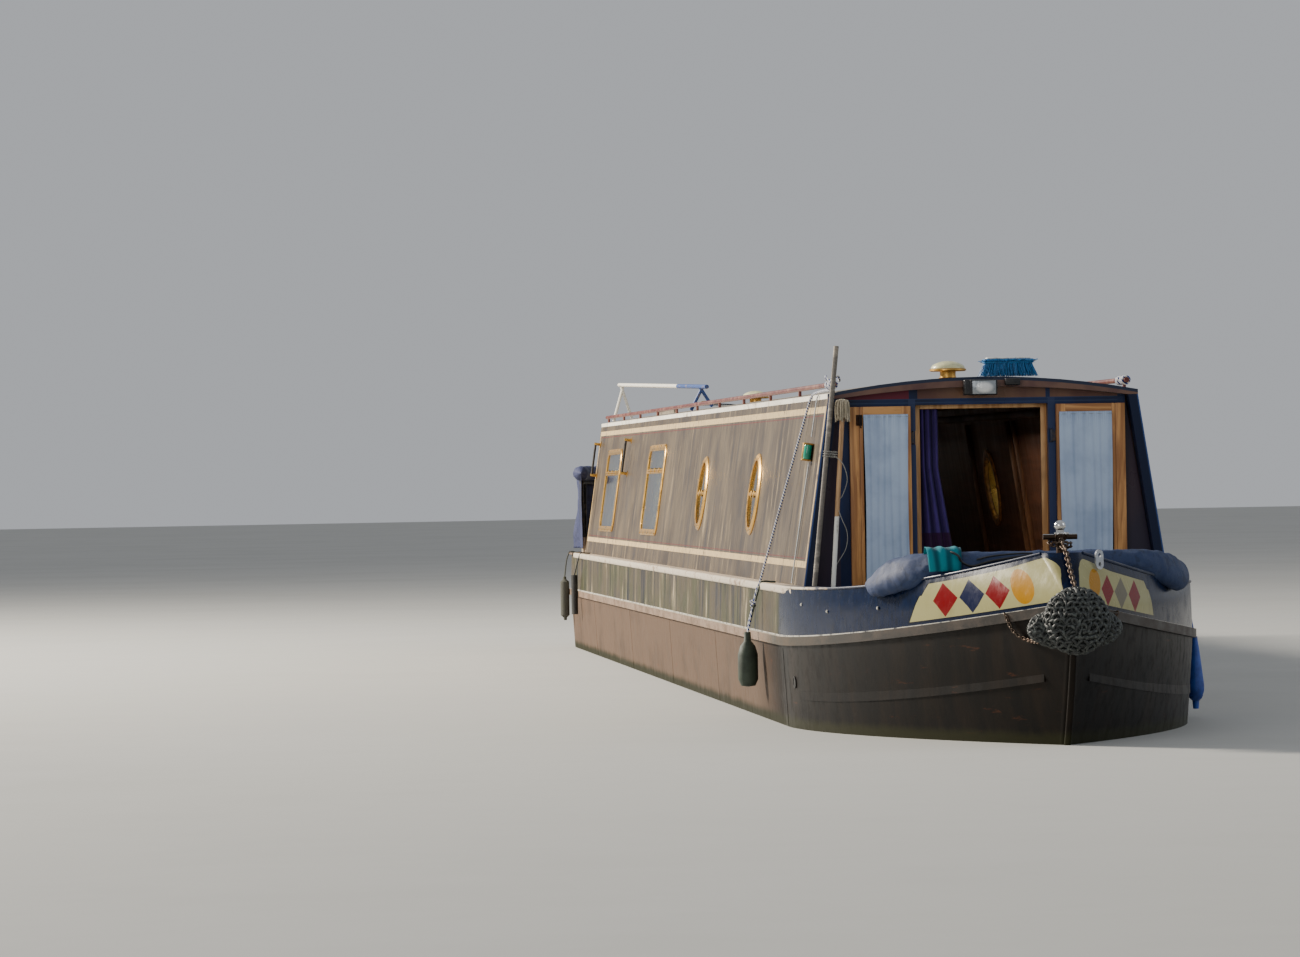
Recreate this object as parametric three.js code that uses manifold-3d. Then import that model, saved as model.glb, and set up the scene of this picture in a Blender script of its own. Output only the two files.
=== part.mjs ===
// A 57 ft steel narrowboat afloat. Millimetres, X forward, Y to port, Z up.
// The origin is amidships, on the centreline, at the waterline.
import * as THREE from "three";
import { mergeVertices } from "three/addons/utils/BufferGeometryUtils.js";
import Module from "manifold-3d";

const wasm = await Module();
wasm.setup();

// Driving dimensions. A station s is a distance aft of the stem.
const LENGTH = 17370;
const HALF_BEAM = 1030; // hull plate at the rubbing strake
const DRAUGHT = 550;
const PLATE = 10; // hull and deck plate
const GAP = 0.3; // between pieces that touch
const BOW = 2630; // where the bow reaches full width
const FULLNESS = 1.843; // of the bow's plan curve
const SWIM_START = 14370;
const STERNPOST = 16220;
const COUNTER_START = 16470;
const COUNTER_POWER = 2.4;
const BILGE = -DRAUGHT + PLATE; // top of the baseplate
const UXTER = -20; // underside of the counter

const CABIN_FRONT = 2478;
const CABIN_AFT = 16283;
const CABIN_LENGTH = CABIN_AFT - CABIN_FRONT;
const CABIN_FOOT = 934; // half width at the gunwale
const TUMBLEHOME = 0.1485; // lean of the cabin sides
const WALL = 50;
const EAVES_Z = 1658; // roof edge at the cabin's front
const EAVES_RISE = 59; // from the cabin's front to its aft end
const GUNWALE_Z = 712;
const GUNWALE_RISE = 29;
const BOW_LIFT = 237;
const EDGE_BAND = 25; // upright edge of the roof
const CAMBER = 75;
const RECESS = 70; // of each bulkhead inside the cabin's end
const BULKHEAD = 45;
const RIM = 12; // bulwark above the fore and aft decks

const STRAKE_Z = 436;
const STRAKE_LIFT = 200;
const STRAKE_HALF = 22;
const STRAKE_DEPTH = 20;
const LOW_STRAKE = [346, 173, 2200]; // height at the stem, height aft, length

const WELL_FLOOR = 108;
const CABIN_FLOOR = -360;
const ENGINE_FLOOR = 100;
const FLOOR = 20;
const LOCKER_AFT = 960;

const DOORWAY = 340; // half width of the front one
const REAR_DOORWAY = 333;
const DOOR_SILL = 440;
const DOOR_HEAD = 1620;
// A leaf's pin from the centreline, its edge from the pin, and its width.
const FRONT_LEAF = {
  port: { pin: 356.5, edge: 21.5, width: 352 },
  stbd: { pin: 352.5, edge: 17.5, width: 312 },
};
const REAR_LEAF = { pin: REAR_DOORWAY, edge: 5, width: 322 };
const LEAF_THICK = 35;
const LEAF_CLEAR = 5;
const STILE = 46;
const HINGE_R = 7;

const at = (s) => LENGTH / 2 - s;
const along = (s) => (s - CABIN_FRONT) / CABIN_LENGTH;
const gunwale = (s) => s < CABIN_FRONT
  ? GUNWALE_Z + BOW_LIFT * (1 - s / CABIN_FRONT) ** 3
  : GUNWALE_Z + GUNWALE_RISE * along(s);
const eaves = (s) => EAVES_Z + EAVES_RISE * along(s);
const eavesHalf = (s) => CABIN_FOOT - TUMBLEHOME * (eaves(s) - gunwale(s));
const strake = (s) => STRAKE_Z + STRAKE_LIFT * Math.max(0, 1 - s / 2875) ** 2.16;
const lowStrake = (s) => {
  const [stem, aft, reach] = LOW_STRAKE;
  return aft + (stem - aft) * Math.max(0, 1 - s / reach) ** 2;
};
const side = (z) => HALF_BEAM - (z > STRAKE_Z ? 0.035 * (z - STRAKE_Z) : 0.06 * (STRAKE_Z - z));
const rake = (z) => (z > 640 ? 235 * ((z - 640) / 250) ** 1.5 : 246 * ((640 - z) / 640) ** 1.5);
const nose = (z) => 28 + 72 * Math.max(0, (z - 650) / 240) ** 1.2;
const NOSE_DEPTH = 0.7;

// Colour, roughness, metalness.
const FINISH = {
  navy: [0x16233c, 0.35, 0.2], blacking: [0x1b1a19, 0.8, 0.1], steel: [0x4a4540, 0.6, 0.5],
  maroon: [0x4a3430, 0.4, 0.2], cream: [0xd8d2bd, 0.5, 0.1], oak: [0xa8743c, 0.5, 0],
  lining: [0x2e1d16, 0.6, 0], brass: [0xb08a3e, 0.3, 0.9], chrome: [0xb8b8b8, 0.15, 1],
  red: [0xa32a1c, 0.5, 0.1], green: [0x1f8a4c, 0.3, 0], black: [0x141414, 0.5, 0.2],
  rope: [0x4a4d4c, 0.95, 0], canvas: [0x1c2c4a, 0.9, 0], curtain: [0x9fb6d8, 0.9, 0],
  purple: [0x3a2a5c, 0.9, 0], blue: [0x1d4f93, 0.4, 0], fender: [0x2f3b33, 0.7, 0],
  white: [0xe8e6e0, 0.5, 0], wood: [0xa98a5e, 0.7, 0], deck: [0x50534f, 0.85, 0.1],
};

const boat = new THREE.Group();

function place(name, geometry, finish, matrix) {
  const [color, roughness, metalness] = FINISH[finish];
  const mesh = new THREE.Mesh(geometry, new THREE.MeshStandardMaterial({ color, roughness, metalness }));
  mesh.name = name;
  if (matrix) matrix.decompose(mesh.position, mesh.quaternion, mesh.scale);
  boat.add(mesh);
  return mesh;
}

// Solids and booleans.
function solid(geometry) {
  let bare = geometry.clone();
  for (const name of Object.keys(bare.attributes)) if (name !== "position") bare.deleteAttribute(name);
  bare = mergeVertices(bare, 1e-3);
  const index = bare.index.array;
  const kept = [];
  for (let i = 0; i < index.length; i += 3) {
    const [a, b, c] = [index[i], index[i + 1], index[i + 2]];
    if (a !== b && b !== c && c !== a) kept.push(a, b, c);
  }
  const vertProperties = new Float32Array(bare.attributes.position.array);
  const triVerts = new Uint32Array(kept);
  return new wasm.Manifold(new wasm.Mesh({ numProp: 3, vertProperties, triVerts }));
}

function geometryOf(manifold) {
  const mesh = manifold.getMesh();
  const geometry = new THREE.BufferGeometry();
  geometry.setAttribute("position", new THREE.BufferAttribute(new Float32Array(mesh.vertProperties), 3));
  geometry.setIndex(new THREE.BufferAttribute(new Uint32Array(mesh.triVerts), 1));
  return geometry;
}

const joined = (...geometries) => geometryOf(geometries.map(solid).reduce((a, b) => a.add(b)));
const cutFrom = (geometry, ...tools) =>
  geometryOf(tools.map(solid).reduce((a, b) => a.subtract(b), solid(geometry)));

function fromTriangles(triangles) {
  const volume = triangles.reduce((sum, [a, b, c]) => sum + a.dot(b.clone().cross(c)), 0);
  const facing = volume < 0 ? triangles.map(([a, b, c]) => [a, c, b]) : triangles;
  const numbers = facing.flat().flatMap((p) => p.toArray());
  const geometry = new THREE.BufferGeometry();
  geometry.setAttribute("position", new THREE.Float32BufferAttribute(numbers, 3));
  return mergeVertices(geometry, 1e-3);
}

const quad = (a, b, c, d) => [[a, b, c], [a, c, d]];

// A plate between two grids of points, rows by columns.
function skin(outer, inner) {
  const rows = outer.length - 1;
  const columns = outer[0].length - 1;
  const triangles = [];
  for (let i = 0; i < rows; i++) {
    for (let j = 0; j < columns; j++) {
      triangles.push(...quad(outer[i][j], outer[i][j + 1], outer[i + 1][j + 1], outer[i + 1][j]));
      triangles.push(...quad(inner[i][j], inner[i][j + 1], inner[i + 1][j + 1], inner[i + 1][j])
        .map(([a, b, c]) => [a, c, b]));
    }
    triangles.push(...quad(outer[i][0], outer[i + 1][0], inner[i + 1][0], inner[i][0]));
    triangles.push(...quad(
      outer[i + 1][columns], outer[i][columns], inner[i][columns], inner[i + 1][columns]));
  }
  for (let j = 0; j < columns; j++) {
    triangles.push(...quad(outer[0][j + 1], outer[0][j], inner[0][j], inner[0][j + 1]));
    triangles.push(...quad(outer[rows][j], outer[rows][j + 1], inner[rows][j + 1], inner[rows][j]));
  }
  return fromTriangles(triangles);
}

function crossCap(count) {
  const faces = [];
  for (let j = 0; j < (count - 1) / 2; j++) {
    const k = count - 1 - j;
    if (k - 1 > j + 1) faces.push([j, j + 1, k - 1], [j, k - 1, k]);
    else if (k - 1 === j + 1) faces.push([j, j + 1, k]);
  }
  return faces;
}

// A solid through closed rings with the same number of points. flat gives a ring's 2-D view for its cap;
// without it the ring is alike to port and starboard and the cap is laid straight across.
function loft(rings, flat) {
  const triangles = [];
  const count = rings[0].length;
  for (let i = 0; i + 1 < rings.length; i++) {
    for (let j = 0; j < count; j++) {
      const k = (j + 1) % count;
      triangles.push(...quad(rings[i][j], rings[i][k], rings[i + 1][k], rings[i + 1][j]));
    }
  }
  const capOf = (ring) => {
    if (!flat) return crossCap(count);
    const outline = ring.map(flat);
    const faces = THREE.ShapeUtils.triangulateShape(outline, []);
    return THREE.ShapeUtils.isClockWise(outline) ? faces.map(([a, b, c]) => [a, c, b]) : faces;
  };
  const first = rings[0];
  const last = rings[rings.length - 1];
  for (const [a, b, c] of capOf(first)) triangles.push([first[a], first[c], first[b]]);
  for (const [a, b, c] of capOf(last)) triangles.push([last[a], last[b], last[c]]);
  return fromTriangles(triangles);
}

const V = (x, y, z) => new THREE.Vector3(x, y, z);
const inPlan = (p) => new THREE.Vector2(p.x, p.y);
const endOn = (p) => new THREE.Vector2(p.y, p.z);

function box(x0, x1, y0, y1, z0, z1) {
  const geometry = new THREE.BoxGeometry(Math.abs(x1 - x0), Math.abs(y1 - y0), Math.abs(z1 - z0));
  return geometry.translate((x0 + x1) / 2, (y0 + y1) / 2, (z0 + z1) / 2);
}

const ALONG = {
  X: new THREE.Matrix4().makeBasis(V(0, 1, 0), V(0, 0, 1), V(1, 0, 0)),
  Y: new THREE.Matrix4().makeBasis(V(0, 0, 1), V(1, 0, 0), V(0, 1, 0)),
  Z: new THREE.Matrix4(),
};

// A straight rod along an axis, from a centre point.
function rod(axis, radius, from, length, sides = 24, endRadius = radius) {
  const geometry = new THREE.CylinderGeometry(endRadius, radius, length, sides);
  geometry.rotateX(Math.PI / 2).translate(0, 0, length / 2).applyMatrix4(ALONG[axis]);
  return geometry.translate(...from);
}

// A rod between any two points.
function strut(from, to, radius, sides = 12) {
  const way = to.clone().sub(from);
  const geometry = new THREE.CylinderGeometry(radius, radius, way.length(), sides);
  geometry.translate(0, way.length() / 2, 0);
  geometry.applyQuaternion(new THREE.Quaternion().setFromUnitVectors(V(0, 1, 0), way.normalize()));
  return geometry.translate(...from.toArray());
}

// A round tube through points.
function tube(points, radius, sides = 10, steps = 40) {
  const section = new THREE.Shape();
  for (let i = 0; i < sides; i++) {
    const turn = (2 * Math.PI * i) / sides;
    section[i ? "lineTo" : "moveTo"](radius * Math.cos(turn), radius * Math.sin(turn));
  }
  section.closePath();
  const path = new THREE.CatmullRomCurve3(points, false, "centripetal");
  return new THREE.ExtrudeGeometry(section, { steps, extrudePath: path, curveSegments: 1 });
}

function turned(profile, sides = 24) {
  const outline = profile.map(([r, h]) => new THREE.Vector2(r, h));
  return new THREE.LatheGeometry(outline, sides).rotateX(Math.PI / 2);
}

function roundedRect(width, height, radius) {
  const shape = new THREE.Shape();
  const w = width / 2;
  const h = height / 2;
  shape.moveTo(w, -h + radius).lineTo(w, h - radius).absarc(w - radius, h - radius, radius, 0, Math.PI / 2);
  shape.lineTo(-w + radius, h).absarc(-w + radius, h - radius, radius, Math.PI / 2, Math.PI);
  shape.lineTo(-w, -h + radius).absarc(-w + radius, -h + radius, radius, Math.PI, 1.5 * Math.PI);
  shape.lineTo(w - radius, -h).absarc(w - radius, -h + radius, radius, 1.5 * Math.PI, 2 * Math.PI);
  return shape;
}

function slab(shape, z0, z1) {
  const settings = { depth: z1 - z0, bevelEnabled: false, curveSegments: 3 };
  return new THREE.ExtrudeGeometry(shape, settings).translate(0, 0, z0);
}

// Hull. Each row of the bow's grid is a height as a function of the station.
const BOW_ROWS = [
  () => BILGE, () => -250, () => 0, () => WELL_FLOOR - PLATE, () => WELL_FLOOR,
  (s) => lowStrake(s) - STRAKE_HALF, (s) => lowStrake(s) + STRAKE_HALF,
  (s) => strake(s) - STRAKE_HALF, (s) => strake(s) + STRAKE_HALF,
  (s) => (strake(s) + gunwale(s)) / 2 + 10,
  (s) => gunwale(s) - RIM - PLATE, (s) => gunwale(s) - RIM, gunwale,
];
const ROW = {
  keel: 0, floor: 3, floorTop: 4, low: 5, lowTop: 6, strake: 7, strakeTop: 8, deck: 10, deckTop: 11, rim: 12,
};
const NOSE_TURNS = [0, 0.5, 1.05];
const BOW_STEPS = [0, 0.015, 0.04, 0.08, 0.13, 0.19, 0.26, 0.34, 0.43, 0.53, 0.64, 0.76, 0.88, 0.963, 1];
const WELL_COLUMN = NOSE_TURNS.length + 7;
const BULKHEAD_COLUMN = NOSE_TURNS.length + 13;

function bowPoint(rowHeight, t, turn = Math.PI / 2) {
  let s = t * BOW;
  let z = rowHeight(s);
  for (let i = 0; i < 5; i++) {
    s = rake(z) * (1 - t) + t * BOW;
    z = rowHeight(s);
  }
  const tip = nose(z) * (1 - t);
  const x = at(s) - NOSE_DEPTH * tip * (1 - Math.cos(turn));
  const y = (nose(z) + (side(z) - nose(z)) * (1 - (1 - t) ** FULLNESS)) * Math.sin(turn);
  return V(x, y, z);
}

// Port half of a row, from the stem to the shoulder, then its outward normals in plan.
const bowRow = (height) => [
  ...NOSE_TURNS.map((turn) => bowPoint(height, 0, turn)),
  ...BOW_STEPS.map((t) => bowPoint(height, t)),
];
const mirrored = (p) => V(p.x, -p.y, p.z);

function pushedOut(row, distance) {
  return row.map((p, i) => {
    const before = i ? row[i - 1] : mirrored(row[1]);
    const after = row[i + 1];
    const way = after ? after.clone().sub(before) : V(-1, 0, 0);
    const normal = V(way.y, -way.x, 0).normalize();
    return p.clone().addScaledVector(normal, distance);
  });
}

const bowHalf = BOW_ROWS.map(bowRow);
const bothSides = (row) => [...row.slice(1).reverse().map(mirrored), ...row];
const bowAt = (row, distance) => pushedOut(bowHalf[row], distance);

// The lower strake on each bow is welded to the shell.
const lowStrakeBar = (distance) => [ROW.low, ROW.lowTop].map((row) =>
  bowAt(row, distance).slice(NOSE_TURNS.length + 1, BULKHEAD_COLUMN));
const lowBar = skin(lowStrakeBar(STRAKE_DEPTH), lowStrakeBar(-3));
place("bow_shell", joined(skin(
  bowHalf.map(bothSides),
  bowHalf.map((row) => bothSides(pushedOut(row, -PLATE))),
), lowBar, mirrorY(lowBar)), "navy");

function mirrorY(geometry) {
  const copy = geometry.clone().scale(1, -1, 1);
  const order = copy.index
    ? Array.from(copy.index.array)
    : Array.from({ length: copy.attributes.position.count }, (_, i) => i);
  for (let i = 0; i < order.length; i += 3) [order[i + 1], order[i + 2]] = [order[i + 2], order[i + 1]];
  copy.setIndex(order);
  return copy;
}

function pair(name, geometry, finish) {
  place(`${name}_port`, geometry, finish);
  place(`${name}_stbd`, mirrorY(geometry), finish);
}

// Straight hull sides.
const SIDE_ROWS = [() => BILGE, (s) => strake(s) - STRAKE_HALF, (s) => strake(s) + STRAKE_HALF, gunwale];
const sideGrid = (stations, inset) => SIDE_ROWS.map((height) =>
  stations.map((s) => V(at(s), side(height(s)) - inset, height(s))));
const SIDE_ENDS = [BOW + GAP, SWIM_START];
pair("hull_side", skin(sideGrid(SIDE_ENDS, 0), sideGrid(SIDE_ENDS, PLATE)), "navy");

// Stern sides: the topside, the flat underside of the counter, and the swim curving in to the sternpost.
const SWIM_STATIONS = [SWIM_START + GAP, 14800, 15200, 15550, 15850, 16060, STERNPOST];
const POST_HALF = 22;
const swim = (s, z) => {
  const u = (STERNPOST - s) / (STERNPOST - SWIM_START);
  return POST_HALF + (side(z) - POST_HALF) * (1 - (1 - Math.min(u, 1)) ** 2.2);
};
function sternGrid(inset) {
  const rise = inset ? PLATE : 0;
  return [
    (s) => V(at(s), swim(s, BILGE) - inset, BILGE),
    (s) => V(at(s), swim(s, -280) - inset, -280),
    (s) => V(at(s), swim(s, UXTER) - inset, UXTER - 2 + rise),
    (s) => V(at(s), side(UXTER) - inset, UXTER + rise),
    (s) => V(at(s), side(strake(s) - STRAKE_HALF) - inset, strake(s) - STRAKE_HALF),
    (s) => V(at(s), side(strake(s) + STRAKE_HALF) - inset, strake(s) + STRAKE_HALF),
    (s) => V(at(s), side(gunwale(s)) - inset, gunwale(s)),
  ].map((point) => SWIM_STATIONS.map(point));
}
pair("stern_side", skin(sternGrid(0), sternGrid(PLATE)), "navy");

// Counter: a band round the stern on a flat bottom.
const STERN_ROWS = [
  () => UXTER, () => 150, () => STRAKE_Z - STRAKE_HALF, () => STRAKE_Z + STRAKE_HALF,
  (s) => gunwale(s) - RIM - PLATE, (s) => gunwale(s) - RIM, gunwale,
];
const STERN_TURNS = [0, 0.12, 0.26, 0.42, 0.6, 0.8, 1, 1.2, 1.38, Math.PI / 2];
const COUNTER_REACH = LENGTH - COUNTER_START;
function sternPoint(height, turn) {
  const s = COUNTER_START + COUNTER_REACH * Math.sin(turn) ** (2 / COUNTER_POWER);
  const z = height(s);
  const y = side(z) * Math.max(Math.cos(turn), 0) ** (2 / COUNTER_POWER);
  return V(at(s), turn === Math.PI / 2 ? 0 : y, z);
}
const sternRow = (height) => [
  ...STERN_TURNS.map((turn) => sternPoint(height, turn)).reverse(),
  V(at(STERNPOST + GAP), side(height(STERNPOST)), height(STERNPOST)),
];
const sternHalf = STERN_ROWS.map(sternRow);
function sternOut(row, distance) {
  return row.map((p, i) => {
    const before = i ? row[i - 1] : mirrored(row[1]);
    const after = row[i + 1];
    const way = after ? after.clone().sub(before) : V(1, 0, 0);
    const normal = V(-way.y, way.x, 0).normalize();
    return p.clone().addScaledVector(normal, distance);
  });
}
const sternBand = (rows, outer, inner) => skin(
  rows.map((row) => bothSides(sternOut(sternHalf[row], outer))),
  rows.map((row) => bothSides(sternOut(sternHalf[row], inner))),
);
const STOCK_S = 16970;
const STOCK_R = 22;
const STOCK_HOLE = 24;
const counterFloor = loft([UXTER, UXTER + PLATE].map((z) =>
  bothSides(sternOut(sternHalf[0], -2)).map((p) => V(p.x, p.y, z))));
const stockHole = rod("Z", STOCK_HOLE, [at(STOCK_S), 0, -200], 1200);
const SEAT_BAND = [[2, 3], [5, 6]];
place("counter", cutFrom(joined(
  sternBand([0, 1, 2, 3, 4, 5, 6], 0, -PLATE), counterFloor,
  ...SEAT_BAND.map((rows) => sternBand(rows, STRAKE_DEPTH, -3)),
), stockHole), "navy");

// Baseplate, a little proud of the sides.
const PROUD = 15;
const basePlan = [
  ...bowAt(ROW.keel, PROUD),
  ...SWIM_STATIONS.map((s) => V(at(s), swim(s, BILGE) + PROUD, BILGE)),
];
const plateAt = (z) => [...basePlan, ...basePlan.slice(1).reverse().map(mirrored)].map((p) => V(p.x, p.y, z));
place("baseplate", loft([-DRAUGHT, BILGE - GAP].map(plateAt), inPlan), "blacking");

// Sternpost with the shaft's bearing, and the skeg that carries the rudder's heel.
const SHAFT_Z = -300;
const SHAFT_R = 19;
const PROP_S = 16330;
const BEARING_AFT = 16290;
const SKEG_TOP = -520;
place("sternpost", cutFrom(joined(
  box(at(STERNPOST + GAP), at(STERNPOST + 50), -POST_HALF + 1, POST_HALF - 1, BILGE, UXTER - 3),
  rod("X", 42, [at(BEARING_AFT), 0, SHAFT_Z], BEARING_AFT - STERNPOST - 2),
  box(at(STERNPOST + 1), at(STOCK_S + 60), -30, 30, -DRAUGHT, SKEG_TOP),
), rod("X", SHAFT_R + 0.7, [at(BEARING_AFT) - 5, 0, SHAFT_Z], 40)), "blacking");

// Rubbing strakes, welded outside the plate.
const strakeRows = [ROW.strake, ROW.strakeTop];
const strakeLine = (row, height, distance) => [
  ...bowAt(row, distance).slice(NOSE_TURNS.length),
  ...[CABIN_FRONT + 600, SWIM_START, STERNPOST].map((s) => V(at(s), side(height(s)) + distance, height(s))),
];
const strakeGrid = (distance) => strakeRows.map((row) => strakeLine(row, BOW_ROWS[row], distance));
pair("rubbing_strake", skin(strakeGrid(GAP + STRAKE_DEPTH), strakeGrid(GAP)), "steel");

// Decks. Each deck's edge lies against the inside of the hull plate.
const inside = (row, last) => bothSides(bowAt(row, -PLATE - GAP).slice(0, last + 1));
const deckOf = (low, high, last) => loft([inside(low, last), inside(high, last)]);
const LID = { fore: 520, aft: 820, half: 210, thick: 8, lip: 22 };
const lidHole = box(at(LID.fore), at(LID.aft), -LID.half, LID.half, 600, 1000);
place("foredeck", cutFrom(deckOf(ROW.deck, ROW.deckTop, WELL_COLUMN), lidHole), "deck");

const innerHalf = (s, z) => {
  const reach = rake(z) + NOSE_DEPTH * nose(z);
  const t = (s - reach) / (BOW - reach);
  return nose(z) + (side(z) - nose(z)) * (1 - (1 - t) ** FULLNESS) - PLATE * 1.6;
};
const lockerTop = gunwale(LOCKER_AFT + PLATE) - RIM - PLATE - 1;
const lockerOutline = [WELL_FLOOR - 2, 200, 320, 450, 600, lockerTop]
  .map((z) => [innerHalf(LOCKER_AFT - PLATE, z), z]);
const lockerRing = (s) => [...lockerOutline, ...lockerOutline.map(([y, z]) => [-y, z]).reverse()]
  .map(([y, z]) => V(at(s), y, z));
place("well_floor", joined(
  deckOf(ROW.floor, ROW.floorTop, BULKHEAD_COLUMN),
  loft([lockerRing(LOCKER_AFT), lockerRing(LOCKER_AFT - PLATE)], endOn),
), "deck");

// Side decks: from the foredeck along the well, then beside the cabin.
const SIDE_DECK_IN = CABIN_FOOT - WALL - 10;
const WELL_DECK_WIDTH = 130;
function sideDeckSections() {
  const [low, high] = [ROW.deckTop, ROW.rim].map((row) => {
    const line = bowAt(row, -PLATE - GAP).slice(WELL_COLUMN);
    return [line[0].lerp(line[1], 0.01), ...line.slice(1)];
  });
  const inner = (p) => V(p.x, p.x > at(CABIN_FRONT) ? p.y - WELL_DECK_WIDTH : SIDE_DECK_IN, p.z);
  const section = (foot, head) => [foot, head, inner(head), inner(foot)];
  const edge = (z) => V(at(CABIN_AFT), side(z) - PLATE - GAP, z);
  const top = gunwale(CABIN_AFT);
  return [...low.map((foot, i) => section(foot, high[i])), section(edge(top - RIM), edge(top))];
}
pair("side_deck", loft(sideDeckSections(), endOn), "deck");

const REAR_FACE = CABIN_AFT - RECESS;
const REAR_INNER = REAR_FACE - BULKHEAD;
function sternDeckRing(row, drop) {
  const half = sternOut(sternHalf[row], -PLATE - GAP);
  const z = half[half.length - 1].z;
  half.push(V(at(REAR_INNER - 8), side(z) - PLATE - GAP, z - drop));
  return bothSides(half);
}
// A rail on posts stands round the stern deck.
const RAIL_Z = 1290;
const RAIL_IN = 62; // from the counter's edge
const RAIL_R = 14;
const RAIL_TURNS = [Math.PI / 2, 1.3, 1.1, 0.85, 0.6, 0.38, 0.2];
const railHalf = [
  ...RAIL_TURNS.map((turn) => {
    const p = sternPoint(() => RAIL_Z, turn);
    const shrink = 1 - RAIL_IN / COUNTER_REACH;
    return V(at(COUNTER_START) + (p.x - at(COUNTER_START)) * shrink, p.y * (1 - RAIL_IN / HALF_BEAM), RAIL_Z);
  }),
  V(at(COUNTER_START - 60), side(RAIL_Z) - RAIL_IN, RAIL_Z),
];
const railLine = bothSides(railHalf);
const railPosts = [railHalf[2], railHalf[5], railHalf[7]].flatMap((p) => [p, mirrored(p)])
  .map((p) => strut(V(p.x, p.y, gunwale(CABIN_AFT) - RIM - 4), p, RAIL_R - 2, 8));
place("stern_deck", cutFrom(joined(
  loft([sternDeckRing(4, 0), sternDeckRing(5, 0.3)]), tube(railLine, RAIL_R, 8, 26), ...railPosts,
), stockHole), "deck");

// Cabin sides, with their windows cut.
const cabinSide = (s, z) => V(at(s), CABIN_FOOT - TUMBLEHOME * (z - gunwale(s)), z);
// A frame on the cabin's side: x along it, y up it, z outwards.
function onCabin(s, z, hand) {
  const p = cabinSide(s, z);
  const up = cabinSide(s, z + 100).sub(p).normalize();
  const fore = cabinSide(s - 1000, z).sub(p).normalize();
  const out = up.clone().cross(fore).normalize();
  if (hand < 0) {
    const flip = (v) => V(v.x, -v.y, v.z);
    const upwards = flip(out).cross(flip(fore));
    return new THREE.Matrix4().makeBasis(flip(fore), upwards, flip(out)).setPosition(mirrored(p));
  }
  return new THREE.Matrix4().makeBasis(up.clone().cross(out), up, out).setPosition(p);
}
const PORT = 1;
const STBD = -1;
const HANDS = [["port", PORT], ["stbd", STBD]];

// Name, station, height of the centre.
const PORTHOLES = {
  port: [["fore", 3900, 1175], ["mid", 7220, 1200]],
  stbd: [["fore", 5180, 1180], ["mid", 8000, 1190]],
};
const WINDOWS = [["mid", 11250, 1218], ["aft", 14640, 1222]];
const PORTHOLE = { glass: 186, hole: 200, ring: 230 };
const WINDOW = { width: 1180, height: 620, border: 34, radius: 70, hopper: 0.3 };
const THROUGH = 160;

function cabinSideSolid(name, hand) {
  const inwards = V(0, -WALL, 0);
  const ring = (s) => {
    const foot = cabinSide(s, gunwale(s) + GAP);
    const head = cabinSide(s, eaves(s));
    return [foot, head, head.clone().add(inwards), foot.clone().add(inwards)]
      .map((p) => (hand < 0 ? mirrored(p) : p));
  };
  const wall = loft([ring(CABIN_FRONT), ring(CABIN_AFT)], endOn);
  const holes = [
    ...PORTHOLES[name].map(([, s, z]) => rod("Z", PORTHOLE.hole, [0, 0, -THROUGH / 2], THROUGH, 24)
      .applyMatrix4(onCabin(s, z, hand))),
    ...WINDOWS.map(([, s, z]) => slab(
      roundedRect(WINDOW.width - 2 * WINDOW.border, WINDOW.height - 2 * WINDOW.border, WINDOW.radius),
      -THROUGH / 2, THROUGH / 2).applyMatrix4(onCabin(s, z, hand))),
  ];
  return cutFrom(wall, ...holes);
}

const portholeSolid = joined(
  turned([
    [0, -3], [PORTHOLE.glass, -3], [PORTHOLE.glass, -36], [PORTHOLE.hole - 1, -36], [PORTHOLE.hole - 1, GAP],
    [PORTHOLE.ring, GAP], [PORTHOLE.ring - 3, 9], [PORTHOLE.glass + 8, 15], [PORTHOLE.glass, 3], [0, 3],
  ]),
  box(-PORTHOLE.glass - 4, PORTHOLE.glass + 4, -9, 9, 1, 11),
);

function windowSolid() {
  const { width, height, border, radius, hopper } = WINDOW;
  const flange = roundedRect(width, height, radius + border);
  flange.holes.push(roundedRect(width - 2 * border - 12, height - 2 * border - 12, radius - 6));
  const spigot = roundedRect(width - 2 * border - 2, height - 2 * border - 2, radius - 1);
  spigot.holes.push(roundedRect(width - 2 * border - 14, height - 2 * border - 14, radius - 7));
  const pane = roundedRect(width - 2 * border - 8, height - 2 * border - 8, radius - 4);
  const barAt = height * (0.5 - hopper);
  return joined(
    slab(flange, GAP, 12), slab(spigot, -36, 6), slab(pane, -3, 3),
    box(-width / 2 + border, width / 2 - border, barAt - 12, barAt + 12, 1, 10),
  );
}
const windowShape = windowSolid();
for (const [name, hand] of HANDS) {
  place(`cabin_side_${name}`, cabinSideSolid(name, hand), "maroon");
  for (const [where, s, z] of PORTHOLES[name]) {
    place(`porthole_${where}_${name}`, portholeSolid, "brass", onCabin(s, z, hand));
  }
  for (const [where, s, z] of WINDOWS) {
    place(`window_${where}_${name}`, windowShape, "brass", onCabin(s, z, hand));
  }
}

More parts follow.
